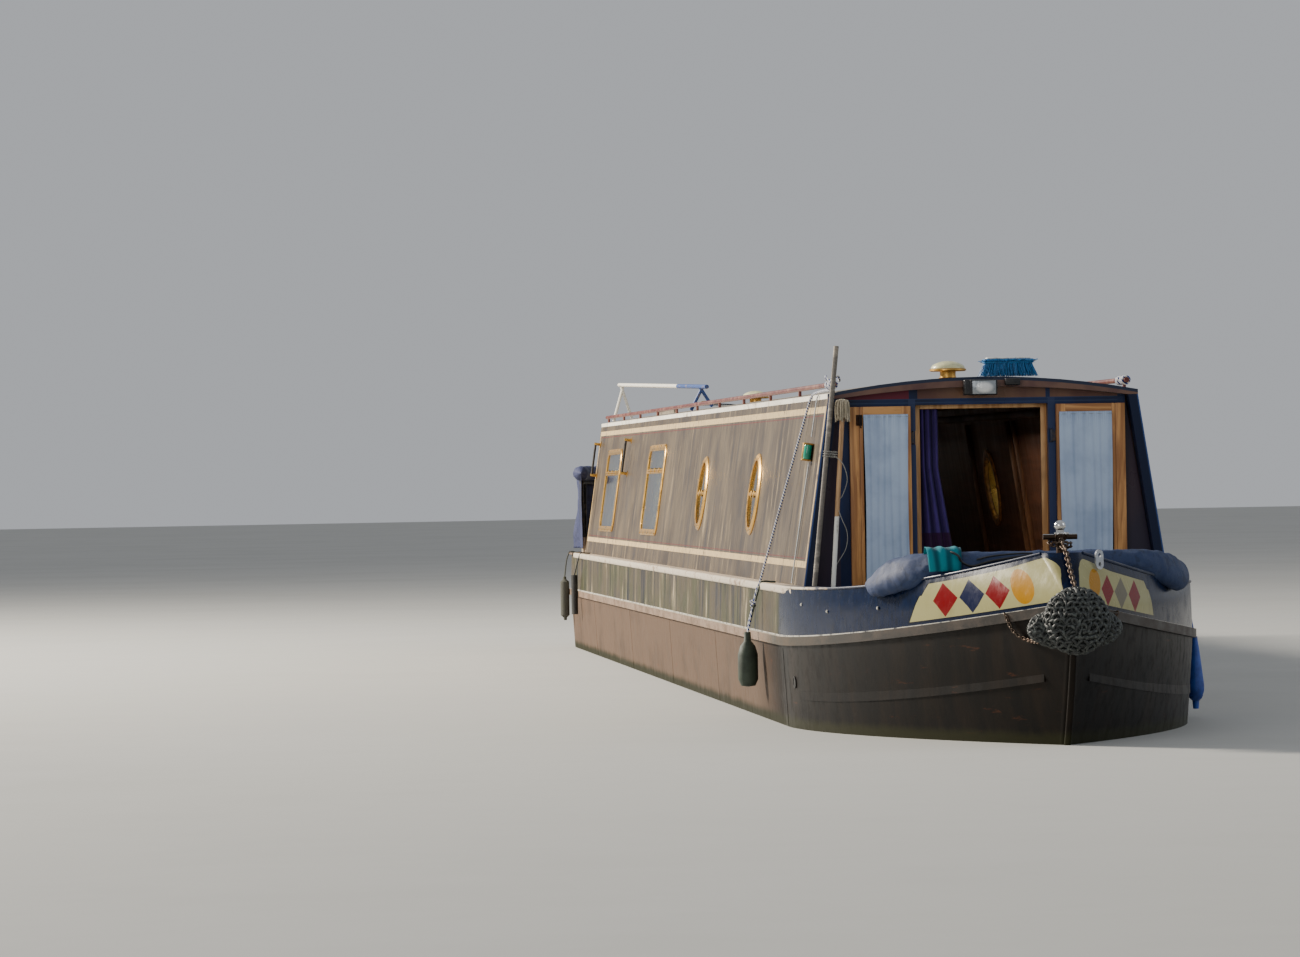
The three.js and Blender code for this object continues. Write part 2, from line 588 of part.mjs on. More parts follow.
// Roof: a cambered panel with a hatchway at its aft end, and the runners that its slide rides on.
const roofTop = (s, y) => eaves(s) + GAP + EDGE_BAND + CAMBER * (1 - (y / eavesHalf(s)) ** 2);
const underHalf = (s) => eavesHalf(s) - WALL - 5;
const roofUnder = (s, y) => eaves(s) + GAP + (EDGE_BAND + CAMBER - WALL) * (1 - (y / underHalf(s)) ** 2);
const ROOF_STEPS = 12;
const across = (half) => Array.from({ length: ROOF_STEPS + 1 }, (_, i) => half * (1 - (2 * i) / ROOF_STEPS));
const roofRing = (s) => [
  V(at(s), eavesHalf(s), eaves(s) + GAP),
  ...across(eavesHalf(s)).map((y) => V(at(s), y, roofTop(s, y))),
  V(at(s), -eavesHalf(s), eaves(s) + GAP),
  ...across(underHalf(s)).reverse().map((y) => V(at(s), y, roofUnder(s, y))),
];
const HATCH = { length: 700, half: 330, travel: 640, runner: 350, lift: 30, over: 375 };
const hatchHole = box(at(CABIN_AFT) - 50, at(CABIN_AFT) + HATCH.length, -HATCH.half, HATCH.half, 1500, 2000);
const runnerSlope = EAVES_RISE / CABIN_LENGTH;
function runner(hand) {
  const y = hand * HATCH.runner;
  const ring = (s) => [[-10, -20], [10, -20], [10, HATCH.lift], [-10, HATCH.lift]].map(([dy, dz]) =>
    V(at(s), y + dy, roofTop(s, HATCH.runner + 10) + dz));
  return loft([ring(CABIN_AFT - 2 * HATCH.length - 40), ring(CABIN_AFT)], endOn);
}
place("cabin_roof", cutFrom(joined(
  loft([roofRing(CABIN_FRONT), roofRing(CABIN_AFT)], endOn), runner(PORT), runner(STBD),
), hatchHole), "cream");

// Bulkheads across the cabin's ends.
function bulkhead(front, foot, doorHalf, doorLow, doorHigh) {
  const ring = (s) => {
    const gw = gunwale(s);
    const wall = (z) => cabinSide(s, z).y - WALL - GAP;
    const half = foot < gw - 100
      ? [[side(foot) - PLATE - 14, foot], [side(gw) - PLATE - 14, gw - RIM - 1],
        [SIDE_DECK_IN - GAP, gw - RIM - 1], [SIDE_DECK_IN - GAP, gw + GAP], [wall(gw + 1), gw + 1]]
      : [[SIDE_DECK_IN - GAP, foot], [SIDE_DECK_IN - GAP, gw + GAP], [wall(gw + 1), gw + 1]];
    const top = across(underHalf(s) - 3).slice(0, ROOF_STEPS / 2 + 1).map((y) => [y, roofUnder(s, y) - 0.6]);
    const port = [...half, ...top];
    return [...port, ...port.slice(0, -1).reverse().map(([y, z]) => [-y, z])].map(([y, z]) => V(at(s), y, z));
  };
  const doorway = box(at(front) + 10, at(front + BULKHEAD) - 10, -doorHalf, doorHalf, doorLow, doorHigh);
  return cutFrom(loft([ring(front), ring(front + BULKHEAD)], endOn), doorway);
}
// Doors. A leaf hangs on pins at the bulkhead's face and folds right back against it.
const PIN_LENGTH = 70;
const pinFeet = (sill, head) => [sill + 130, head - 130 - PIN_LENGTH];
// A leaf as it stands folded back: out points away from the bulkhead's face.
function leaf(face, out, sill, head, hand, { pin, edge, width }) {
  const x0 = face + out * LEAF_CLEAR;
  const x1 = x0 + out * LEAF_THICK;
  const y0 = hand * (pin + edge);
  const y1 = y0 + hand * width;
  const z0 = sill + LEAF_CLEAR;
  const z1 = head - LEAF_CLEAR;
  const light = (from, to) => box(from, to, y0 + hand * STILE, y1 - hand * STILE, z0 + 2 * STILE, z1 - STILE);
  const webs = pinFeet(sill, head).map((z) =>
    box(face + out * 0.6, face + out * 14, hand * (pin + 0.6), y0 + hand * 9, z + 5, z + PIN_LENGTH - 5));
  const pins = pinFeet(sill, head).map((z) => rod("Z", HINGE_R, [face, hand * pin, z], PIN_LENGTH, 16));
  return joined(
    cutFrom(box(x0, x1, y0, y1, z0, z1), light(x0 + out * 10, x1 + out), light(x0 - out, x0 + out * 4)),
    ...webs, ...pins,
  );
}
// The gains cut for a leaf's pins in the corner of its doorway.
function gains(face, doorway, sill, head, hand, pin) {
  const deep = LEAF_THICK / 2;
  return pinFeet(sill, head).map((z) => box(face - deep, face + deep,
    hand * (doorway - 10), hand * (pin + HINGE_R + 0.6), z - 0.6, z + PIN_LENGTH + 0.6));
}
const frontFace = at(CABIN_FRONT + RECESS);
place("front_bulkhead", cutFrom(
  bulkhead(CABIN_FRONT + RECESS, CABIN_FLOOR + GAP, DOORWAY, DOOR_SILL, DOOR_HEAD),
  ...HANDS.flatMap(([name, hand]) =>
    gains(frontFace, DOORWAY, DOOR_SILL, DOOR_HEAD, hand, FRONT_LEAF[name].pin)),
), "navy");
// The curtains hang on the inner face of each leaf, which looks forward when the leaf is folded back.
const DOOR_CURTAIN = { thick: 8, hinge: 12, latch: 68, foot: 30, head: 45 };
for (const [name, hand] of HANDS) {
  const { pin, edge, width } = FRONT_LEAF[name];
  place(`front_door_${name}`, leaf(frontFace, 1, DOOR_SILL, DOOR_HEAD, hand, FRONT_LEAF[name]), "oak");
  const x = frontFace + LEAF_CLEAR + LEAF_THICK + GAP;
  place(`door_curtain_${name}`, box(x, x + DOOR_CURTAIN.thick, hand * (pin + edge + DOOR_CURTAIN.hinge),
    hand * (pin + edge + width - DOOR_CURTAIN.latch),
    DOOR_SILL + DOOR_CURTAIN.foot, DOOR_HEAD - DOOR_CURTAIN.head), "curtain");
}

const REAR_SILL = gunwale(CABIN_AFT) - RIM + 90;
const REAR_HEAD = 1640;
const rearFace = at(REAR_FACE);
const rearPins = HANDS.flatMap(([, hand]) => pinFeet(REAR_SILL, REAR_HEAD).map((z) =>
  rod("Z", HINGE_R + 0.6, [rearFace, hand * REAR_LEAF.pin, z], PIN_LENGTH, 16)));
place("rear_bulkhead", cutFrom(
  bulkhead(REAR_INNER, gunwale(CABIN_AFT) - RIM + GAP, REAR_DOORWAY, REAR_SILL, 2000), ...rearPins), "navy");
// The rear doors stand closed, so each leaf is turned half round its pins.
for (const [name, hand] of HANDS) {
  const shut = leaf(0, -1, REAR_SILL, REAR_HEAD, hand, REAR_LEAF).translate(0, -hand * REAR_LEAF.pin, 0)
    .rotateZ(Math.PI).translate(rearFace, hand * REAR_LEAF.pin, 0);
  place(`rear_door_${name}`, shut, "oak");
}

// Sliding hatch over the companionway.
function hatchRing(s) {
  const lift = HATCH.lift + GAP;
  const base = roofTop(s, HATCH.runner + 10) + lift;
  const top = (y) => base + 8 + 40 * (1 - (y / HATCH.over) ** 2);
  const outer = across(HATCH.over).map((y) => V(at(s), y, top(y)));
  const foot = HATCH.half + 5;
  return [V(at(s), HATCH.over, base), ...outer, V(at(s), -HATCH.over, base), V(at(s), -foot, base),
    ...across(HATCH.half).reverse().map((y) => V(at(s), y, top(y) - 8)), V(at(s), foot, base)];
}
place("slide_hatch", loft([hatchRing(CABIN_AFT - HATCH.length - 30), hatchRing(CABIN_AFT)], endOn), "navy");

// Floors inside, on joists that stand on the baseplate, with a raised floor over the engine.
const JOIST = 500;
const ENGINE_AFT = 15900;
place("cabin_floor", joined(
  box(at(CABIN_FRONT + RECESS - 5), at(SWIM_START - 40), -955, 955, CABIN_FLOOR - FLOOR, CABIN_FLOOR),
  ...[-JOIST, JOIST].map((y) =>
    box(at(CABIN_FRONT + 300), at(SWIM_START - 100), y - 20, y + 20, BILGE, CABIN_FLOOR - 5)),
  box(at(SWIM_START - 60), at(SWIM_START - 40), -950, 950, CABIN_FLOOR - 5, ENGINE_FLOOR),
  box(at(SWIM_START - 60), at(ENGINE_AFT), -960, 960, ENGINE_FLOOR - FLOOR, ENGINE_FLOOR),
), "lining");
place("engine", box(at(14700), at(15550), -260, 260, BILGE, 60), "black");

// Gas locker lid on the foredeck, hinged along its fore edge.
const lidRing = (s, z0, z1) => [[-1, z0], [1, z0], [1, z1], [-1, z1]].map(([hand, z]) =>
  V(at(s), hand * (LID.half + LID.lip), z));
const foredeckEdge = bowAt(ROW.deckTop, -PLATE - GAP);
// Height of the foredeck's top at a station, between the points of its edge.
function deckAt(s) {
  const i = foredeckEdge.findIndex((p) => p.x <= at(s));
  const [a, b] = [foredeckEdge[i - 1], foredeckEdge[i]];
  return THREE.MathUtils.mapLinear(at(s), a.x, b.x, a.z, b.z);
}
const LID_SEAT = 0.4;
place("locker_lid", loft([LID.fore - LID.lip, LID.aft + LID.lip].map((s) =>
  lidRing(s, deckAt(s) + LID_SEAT, deckAt(s) + LID_SEAT + LID.thick)), endOn), "deck");

// T-stud on the bow, with its crossbar and ball.
const STUD_S = 330;
const STUD_FOOT = 42;
const studFoot = deckAt(STUD_S);
const deckMass = loft([-90, GAP].map((rise) =>
  inside(ROW.deckTop, WELL_COLUMN).map((p) => V(p.x, p.y, p.z + rise))));
place("t_stud", cutFrom(joined(
  rod("Z", STUD_FOOT, [at(STUD_S), 0, studFoot - 30], 45, 20),
  rod("Z", 19, [at(STUD_S), 0, studFoot], 130, 16),
  rod("Y", 13, [at(STUD_S), -80, studFoot + 92], 160, 12),
  new THREE.SphereGeometry(27, 16, 10).translate(at(STUD_S), 0, studFoot + 142),
), deckMass), "chrome");

// Rudder: stock, blade and swan-necked tiller in one.
const stockX = at(STOCK_S);
const TILLER_Z = 1705;
const TILLER_REACH = 600;
const blade = new THREE.Shape([[-360, -500], [150, -500], [165, -110], [-300, -110], [-360, -190]]
  .map(([x, z]) => new THREE.Vector2(x, z)));
place("rudder", joined(
  rod("Z", STOCK_R, [stockX, 0, SKEG_TOP + GAP], 1960),
  new THREE.ExtrudeGeometry(blade, { depth: 22, bevelEnabled: false }).rotateX(Math.PI / 2)
    .translate(stockX, 11, 0),
  tube([V(stockX, 0, 1400), V(stockX - 6, 0, 1470), V(stockX + 15, 0, 1560), V(stockX + 95, 0, 1650),
    V(stockX + 210, 0, 1695), V(stockX + 330, 0, TILLER_Z)], 17, 12, 24),
  rod("X", 15, [stockX + 320, 0, TILLER_Z], 120, 12),
  rod("X", 19, [stockX + 430, 0, TILLER_Z], TILLER_REACH - 430, 12, 14),
), "steel");

// Propeller on its shaft.
const propX = at(PROP_S);
function blades() {
  return [0, 1, 2].map((i) => new THREE.SphereGeometry(1, 12, 8).scale(7, 78, 95).rotateZ(0.6)
    .translate(0, 0, 120).rotateX((2 * Math.PI * i) / 3));
}
place("propeller", joined(
  rod("X", SHAFT_R, [-15, 0, 0], 15 + PROP_S - BEARING_AFT + 30),
  rod("X", 36, [-38, 0, 0], 76, 24, 40), ...blades(),
).translate(propX, 0, SHAFT_Z), "brass");

// Handrails along the roof's edges.
const RAIL_Y = 752;
function handrail() {
  const foot = (s) => V(at(s), RAIL_Y, roofTop(s, RAIL_Y) + 1.5);
  const up = V(0, 0, 40);
  const feet = Array.from({ length: 11 }, (_, i) => CABIN_FRONT + 150 + i * 1340);
  return joined(
    strut(foot(CABIN_FRONT + 80).add(up), foot(CABIN_AFT - 90).add(up), 13),
    ...feet.map((s) => strut(foot(s), foot(s).add(up), 9)),
  );
}
pair("handrail", handrail(), "red");

// Lamps.
const HEADLAMP = { deep: 70, y: [-108, 62], z: [1664, 1743] };
place("headlamp",
  box(at(CABIN_FRONT) + GAP, at(CABIN_FRONT) + HEADLAMP.deep, ...HEADLAMP.y, ...HEADLAMP.z), "black");
const NAV = { s: 2840, z: 1390 };
const lamp = joined(box(-35, 35, -45, 45, GAP, 30), rod("Z", 24, [0, 0, 25], 30, 16));
place("nav_lamp_port", lamp, "red", onCabin(NAV.s, NAV.z, PORT));
place("nav_lamp_stbd", lamp, "green", onCabin(NAV.s, NAV.z, STBD));

// Mushroom ventilators. Name and station.
const VENT = [[0, 0], [60, 0], [60, 12], [42, 18], [42, 50], [98, 52], [92, 72], [60, 96], [0, 106]];
for (const [name, s] of [["fore", 3650], ["aft", 12600]]) {
  place(`vent_${name}`, turned(VENT, 20).translate(at(s), 0, roofTop(s, 0) + 0.5), "brass");
}

// Bow button fender, shaped to the stem.
const bowMass = loft(bowHalf.map((row) => bothSides(pushedOut(row, GAP))));
const strakeEdges = [-1, 1].map((hand) => bowRow((s) => strake(s) + hand * (STRAKE_HALF + 1)));
const strakeMass = skin(
  strakeEdges.map((row) => bothSides(pushedOut(row, STRAKE_DEPTH + 1))),
  strakeEdges.map((row) => bothSides(pushedOut(row, -PLATE))),
);
const FENDER_Z = 581;
const CHAIN = { bend: 13, wire: 4, stretch: 1.3, pitch: 27 };
// A chain down from the T-stud's crossbar, over the nose to the fender. Station and height of its line.
const CHAIN_STOPS = [[294, 944], [262, 917], [228, 909], [180, 892], [60, 800], [-56, 724]];
const chainLine = new THREE.CatmullRomCurve3(
  CHAIN_STOPS.map(([s, z]) => V(at(s), 0, z)), false, "centripetal");
function chain(line, { bend, wire, stretch, pitch }) {
  const count = Math.round(line.getLength() / pitch);
  return Array.from({ length: count + 1 }, (_, i) => {
    const way = line.getTangentAt(i / count);
    const up = way.clone().cross(V(0, 1, 0));
    const across = i % 2 ? up : V(0, 1, 0);
    const frame = new THREE.Matrix4().makeBasis(way, across, way.clone().cross(across));
    return new THREE.TorusGeometry(bend, wire, 4, 7).scale(stretch, 1, 1)
      .applyMatrix4(frame.setPosition(line.getPointAt(i / count)));
  });
}
place("bow_fender", cutFrom(joined(
  new THREE.SphereGeometry(1, 20, 14).scale(120, 150, 150).translate(at(0) + 70, 0, FENDER_Z),
  new THREE.SphereGeometry(1, 18, 10).scale(75, 215, 95).translate(at(0) + 12, 0, FENDER_Z - 35),
  ...chain(chainLine, CHAIN),
), bowMass, strakeMass, box(at(0) - 400, at(0) - 60, -400, 400, 200, 740)), "rope");

// Folded canvas. A roll is a row of stops, each a point and a radius, seen end on at its two ends.
function roll(stops, sides = 12) {
  return loft(stops.map(([point, radius], i) => {
    const [before] = stops[Math.max(i - 1, 0)];
    const [after] = stops[Math.min(i + 1, stops.length - 1)];
    const way = after.clone().sub(before).setZ(0).normalize();
    return Array.from({ length: sides }, (_, k) => {
      const turn = (2 * Math.PI * k) / sides;
      const out = radius * Math.cos(turn);
      return point.clone().add(V(-way.y * out, way.x * out, radius * Math.sin(turn)));
    });
  }), endOn);
}

// The cover of the well, folded forward: station, half width, height above the gunwale, radius.
const COVER = [
  [915, 0, 52, 64], [915, 230, 52, 66], [925, 380, 52, 66], [960, 490, 52, 66], [1040, 570, 54, 66],
  [1150, 636, 56, 62], [1290, 712, 40, 46], [1450, 777, 26, 30], [1600, 825, 16, 18],
];
const FLAP = { s: 1120, y: 662, z: 742, size: [150, 46, 70] };
const coverStops = COVER.map(([s, y, rise, radius]) => [V(at(s), y, gunwale(s) + rise), radius]);
const flap = new THREE.SphereGeometry(1, 12, 8).scale(...FLAP.size).rotateZ(-0.42)
  .translate(at(FLAP.s), FLAP.y, FLAP.z);
const COVER_SEAT = 0.7;
place("bow_cover", cutFrom(joined(
  roll([...coverStops.slice(1).reverse().map(([p, radius]) => [mirrored(p), radius]), ...coverStops]),
  flap, mirrorY(flap),
), bowMass, bowMass.clone().translate(0, 0, COVER_SEAT)), "canvas");

// The stern hood, folded down on its rail, with a panel that hangs from it round each quarter.
const HOOD = { radius: 56, foot: 775, thick: 26, out: 45 };
const hoodZ = RAIL_Z + RAIL_R + GAP + HOOD.radius;
const hoodEnd = V(at(CABIN_AFT + 45), side(RAIL_Z) - RAIL_IN + RAIL_R, hoodZ);
const hoodStops = bothSides([...railHalf.slice(0, -1).map((p) => V(p.x, p.y, hoodZ)), hoodEnd])
  .map((p) => [p, HOOD.radius]);
const hoodLine = [V(hoodEnd.x - 10, side(RAIL_Z) - RAIL_IN, 0), ...railHalf.slice(3, -1).reverse()];
const hoodFace = (distance) => [HOOD.foot, hoodZ - 10].map((z) => hoodLine.map((p, i) => {
  const way = (hoodLine[i + 1] ?? p).clone().sub(hoodLine[i - 1] ?? p);
  return p.clone().addScaledVector(V(way.y, -way.x, 0).normalize(), distance).setZ(z);
}));
const hoodSide = skin(hoodFace(HOOD.out + HOOD.thick / 2), hoodFace(HOOD.out - HOOD.thick / 2));
place("stern_hood", joined(roll(hoodStops), hoodSide, mirrorY(hoodSide)), "canvas");

// Poles. A steel one stands on the side deck at the cabin's corner, with a mop beside it in the well.
const leaning = (s, low, high, radius) => strut(V(at(s), ...low), V(at(s), ...high), radius);
place("corner_pole", leaning(2440, [-884, gunwale(2440) + 1.8], [-752, 1923], 13), "steel");
const MOP = { s: 2440, foot: [-832, WELL_FLOOR + 1.2], head: [-726, 1600], radius: 35, length: 120 };
place("mop", joined(
  leaning(MOP.s, MOP.foot, MOP.head, 12),
  rod("Z", MOP.radius - 8, [at(MOP.s), MOP.head[0], MOP.head[1] - 65], MOP.length, 14, MOP.radius),
), "wood");

// The long boat pole rests on two stands on the roof. Station, height above the roof.
const POLE_Y = -660;
const POLE_R = 14;
const STANDS = [[9950, 150], [15850, 272]];
const STAND = { spread: 70, leg: 11 };
const poleAt = (s) => {
  const [[s0, h0], [s1, h1]] = STANDS;
  const height = (stand, rise) => roofTop(stand, POLE_Y) + rise;
  return V(at(s), POLE_Y, THREE.MathUtils.mapLinear(s, s0, s1, height(s0, h0), height(s1, h1)));
};
place("boat_pole", joined(
  strut(poleAt(STANDS[0][0] - 350), poleAt(STANDS[1][0] + 250), POLE_R),
  ...STANDS.flatMap(([s, rise]) => [-STAND.spread, STAND.spread].map((dy) => {
    const y = POLE_Y + dy;
    const clear = STAND.leg * (STAND.spread / rise + 0.18) + GAP;
    return strut(V(at(s), y, roofTop(s, y) + clear), poleAt(s).add(V(0, -dy / 10, -rise / 20)), STAND.leg, 8);
  })),
), "white");

// Fenders on lanyards over the gunwale. The profiles give radius and height above the fender's foot.
const BOTTLE = [[0, 0], [38, 6], [53, 40], [53, 170], [40, 215], [20, 240], [17, 288], [0, 288]];
const TEARDROP = [[0, 0], [15, 2], [18, 42], [34, 58], [45, 95], [45, 125], [30, 250], [13, 372], [0, 372]];
const SAUSAGE = [[0, 0], [12, 0], [14, 20], [35, 40], [35, 300], [14, 320], [12, 340], [0, 340]];
const TUBE = [[0, 0], [25, 0], [25, 300], [0, 300]];
const LANYARD = 5;
function fender(profile, s, foot) {
  const top = profile[profile.length - 1][1];
  const radius = Math.max(...profile.map(([r]) => r));
  const y = side(STRAKE_Z) + STRAKE_DEPTH + radius + 1;
  const onCounter = s > STERNPOST;
  const edge = side(gunwale(s)) + (onCounter ? STRAKE_DEPTH : 0);
  const z = gunwale(s) + LANYARD + 0.4;
  const line = [[y, foot + top - 5], [edge + 28, z - 60], [edge + 13, z - 14], [edge + 9, z], [edge, z + 5],
    [edge - 34, z + 1], [edge - 70, onCounter ? z - RIM : z]]
    .map(([outwards, height]) => V(at(s), outwards, height));
  return joined(turned(profile, 14).translate(at(s), y, foot), tube(line, LANYARD, 8, 14));
}
// Name, hand, profile, station, height of the foot, finish.
const FENDERS = [
  ["fender_port", PORT, TEARDROP, 2640, 44, "blue"],
  ["fender_fore_stbd", STBD, BOTTLE, 3550, 170, "fender"],
  ["fender_aft_stbd", STBD, TUBE, 15600, 280, "black"],
  ["fender_stern_stbd", STBD, SAUSAGE, 16450, 215, "rope"],
];
for (const [name, hand, profile, s, foot, finish] of FENDERS) {
  const shape = fender(profile, s, foot);
  place(name, hand < 0 ? mirrorY(shape) : shape, finish);
}

// A curtain drawn to one side inside the front doorway, on a rod above it.
const CURTAIN = {
  head: 1625, foot: 455, from: -330, top: -215, low: -75, x: frontFace - BULKHEAD - 62, thick: 40,
};
const drape = new THREE.Shape([
  [CURTAIN.from, CURTAIN.foot], [CURTAIN.low, CURTAIN.foot], [-165, 1000],
  [CURTAIN.top, 1300], [CURTAIN.top, CURTAIN.head], [CURTAIN.from, CURTAIN.head],
].map(([y, z]) => new THREE.Vector2(y, z)));
place("doorway_curtain", joined(
  new THREE.ExtrudeGeometry(drape, { depth: CURTAIN.thick, bevelEnabled: false }).applyMatrix4(ALONG.X)
    .translate(CURTAIN.x, 0, 0),
  rod("Y", 8, [CURTAIN.x + CURTAIN.thick / 2, -400, CURTAIN.head], 800, 10),
  ...[-400, 400].map((y) =>
    box(CURTAIN.x + 10, frontFace - BULKHEAD - GAP, y - 6, y + 6, CURTAIN.head - 10, CURTAIN.head + 10)),
), "purple");

// A deck brush left on the roof's front end.
const BRUSH = { s: 2700, y: 165, long: 300, wide: 110, bristle: 88 };
place("deck_brush", joined(
  box(at(BRUSH.s) - BRUSH.wide / 2, at(BRUSH.s) + BRUSH.wide / 2,
    BRUSH.y - BRUSH.long / 2, BRUSH.y + BRUSH.long / 2,
    roofTop(BRUSH.s, 10) + 0.6, roofTop(BRUSH.s, 10) + BRUSH.bristle),
  box(at(BRUSH.s) - 35, at(BRUSH.s) + 35, BRUSH.y - 110, BRUSH.y + 110, roofTop(BRUSH.s, 10) + 60,
    roofTop(BRUSH.s, 10) + BRUSH.bristle + 24),
), "blue");

export default boat;
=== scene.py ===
"""A 57 ft steel narrowboat afloat. Metres, X forward, Y to port, Z up, the origin amidships at the waterline.

A station s is a distance aft of the stem. A hand is 1 to port and -1 to starboard."""

import math
from functools import partialmethod

import bpy
from mathutils import Matrix, Vector, noise


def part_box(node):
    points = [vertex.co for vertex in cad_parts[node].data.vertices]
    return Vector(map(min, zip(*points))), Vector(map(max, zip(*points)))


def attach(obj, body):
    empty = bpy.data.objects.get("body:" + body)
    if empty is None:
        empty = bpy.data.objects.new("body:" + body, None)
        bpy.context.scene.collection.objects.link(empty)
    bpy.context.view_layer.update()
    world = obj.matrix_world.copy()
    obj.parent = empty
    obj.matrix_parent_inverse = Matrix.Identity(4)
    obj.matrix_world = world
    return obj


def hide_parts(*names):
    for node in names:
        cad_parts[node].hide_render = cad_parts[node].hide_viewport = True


bl_info = {
    "name": "Narrowboat",
    "version": (1, 0, 0),
    "blender": (4, 5, 0),
    "location": "View3D > Sidebar > Narrowboat",
    "description": "Dresses a narrowboat's packed frame with paint, canvas, rope and fittings",
    "category": "Add Mesh",
}

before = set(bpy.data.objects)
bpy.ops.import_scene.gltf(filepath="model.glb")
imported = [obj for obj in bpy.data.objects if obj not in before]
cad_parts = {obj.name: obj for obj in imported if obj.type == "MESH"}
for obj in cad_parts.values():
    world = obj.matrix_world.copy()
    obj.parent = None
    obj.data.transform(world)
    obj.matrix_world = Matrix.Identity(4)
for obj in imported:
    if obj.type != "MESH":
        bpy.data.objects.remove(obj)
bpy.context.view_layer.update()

# Driving places, as in the frame.
STEM_X = 8.685
BOW = 2.63  # station where the bow's curve ends
FULLNESS = 1.843  # how bluff the bow is
CABIN_FRONT = 2.478
CABIN_AFT = 16.283
COUNTER = 16.47  # station where the counter's curve starts
COUNTER_LENGTH = 0.9
ROUNDNESS = 2.4  # power of the counter's curve
CABIN_FOOT = 0.934
TUMBLEHOME = 0.1485
WALL = 0.05
STRAKE_Z = 0.436
HALF_BEAM = 1.030
KNUCKLE = 0.64  # height where the stem stands furthest forward
GUNWALE_RISE = 0.0021  # per metre aft
EAVES_RISE = 0.00427
CAMBER = 0.075
ROOF_EDGE = 0.0253
DECK_LINE = 0.76  # a height between the stern deck and the tiller
PORT, STBD = 1, -1
HANDS = (("port", PORT), ("stbd", STBD))


def positive(value):
    return value.positive() if isinstance(value, Field) else max(value, 0.0)


def gunwale(s):
    return 0.712 + 0.237 * positive(1 - s / CABIN_FRONT) ** 3 + GUNWALE_RISE * positive(s - CABIN_FRONT)


def strake(s):
    return STRAKE_Z + 0.200 * positive(1 - s / 2.875) ** 2.16


def low_strake(s):
    return 0.173 + 0.173 * positive(1 - s / 2.2) ** 2


def side(z):
    """Half width of the hull's straight part."""
    return HALF_BEAM - 0.035 * positive(z - STRAKE_Z) - 0.06 * positive(STRAKE_Z - z)


def rake(z):
    """Station of the stem."""
    return 0.235 * (positive(z - KNUCKLE) / 0.25) ** 1.5 + 0.246 * (positive(KNUCKLE - z) / KNUCKLE) ** 1.5


def nose(z):
    """Half width at the stem."""
    return 0.028 + 0.072 * (positive(z - 0.65) / 0.24) ** 1.2


def eaves(s):
    return 1.658 + EAVES_RISE * (s - CABIN_FRONT)


def cabin_half(s, z):
    return CABIN_FOOT - TUMBLEHOME * (z - gunwale(s))


def roof_top(s, y):
    return eaves(s) + ROOF_EDGE + CAMBER * (1 - (y / cabin_half(s, eaves(s))) ** 2)


def at(s, y=0.0, z=0.0):
    return Vector((STEM_X - s, y, z))


def hull_half(s, z):
    """Half width of the bow's plating."""
    reach = (s - rake(z)) / (BOW - rake(z))
    return nose(z) + (side(z) - nose(z)) * (1 - (1 - min(max(reach, 0), 1)) ** FULLNESS)


def bow_point(height, along, turn=math.pi / 2):
    """A point of the port bow: height is a function of the station, along runs from stem to shoulder."""
    s = along * BOW
    for _ in range(6):
        s = rake(height(s)) * (1 - along) + along * BOW
    z = height(s)
    tip = nose(z) * (1 - along)
    y = (nose(z) + (side(z) - nose(z)) * (1 - (1 - along) ** FULLNESS)) * math.sin(turn)
    return Vector((STEM_X - s - 0.7 * tip * (1 - math.cos(turn)), y, z))


def blend(a, b, share):
    return a + (b - a) * share


# Finishes


def paint(red, green, blue):
    """A colour as seen on a screen, 0 to 255, made linear."""
    linear = (c / 255 / 12.92 if c < 10.3 else ((c / 255 + 0.055) / 1.055) ** 2.4 for c in (red, green, blue))
    return (*linear, 1.0)


class Field:
    """A number or a colour that varies over a surface."""

    def __init__(self, finish, socket):
        self.finish = finish
        self.socket = socket

    def math(self, operation, *others):
        return self.finish.node("Math", {"operation": operation}, dict(enumerate((self, *others))))

    def __rsub__(self, other):
        return self * -1 + other

    def positive(self):
        return self.either(0.0)

    def between(self, low, high):
        return self.above(low) * self.below(high)

    def ramp(self, low, high, start=0.0, end=1.0):
        """Runs smoothly from start at low to end at high."""
        spans = {"Value": self, "From Min": low, "From Max": high, "To Min": start, "To Max": end}
        return self.finish.node("MapRange", {"interpolation_type": "SMOOTHSTEP"}, spans, "Result")


# Above and below give 1 where they hold and 0 elsewhere. Either is the larger, lesser the smaller.
for method, operation in {
        "__add__": "ADD", "__radd__": "ADD", "__sub__": "SUBTRACT", "__mul__": "MULTIPLY",
        "__rmul__": "MULTIPLY",
        "__truediv__": "DIVIDE", "__pow__": "POWER", "__abs__": "ABSOLUTE", "sine": "SINE",
        "above": "GREATER_THAN", "below": "LESS_THAN", "either": "MAXIMUM", "lesser": "MINIMUM"}.items():
    setattr(Field, method, partialmethod(Field.math, operation))


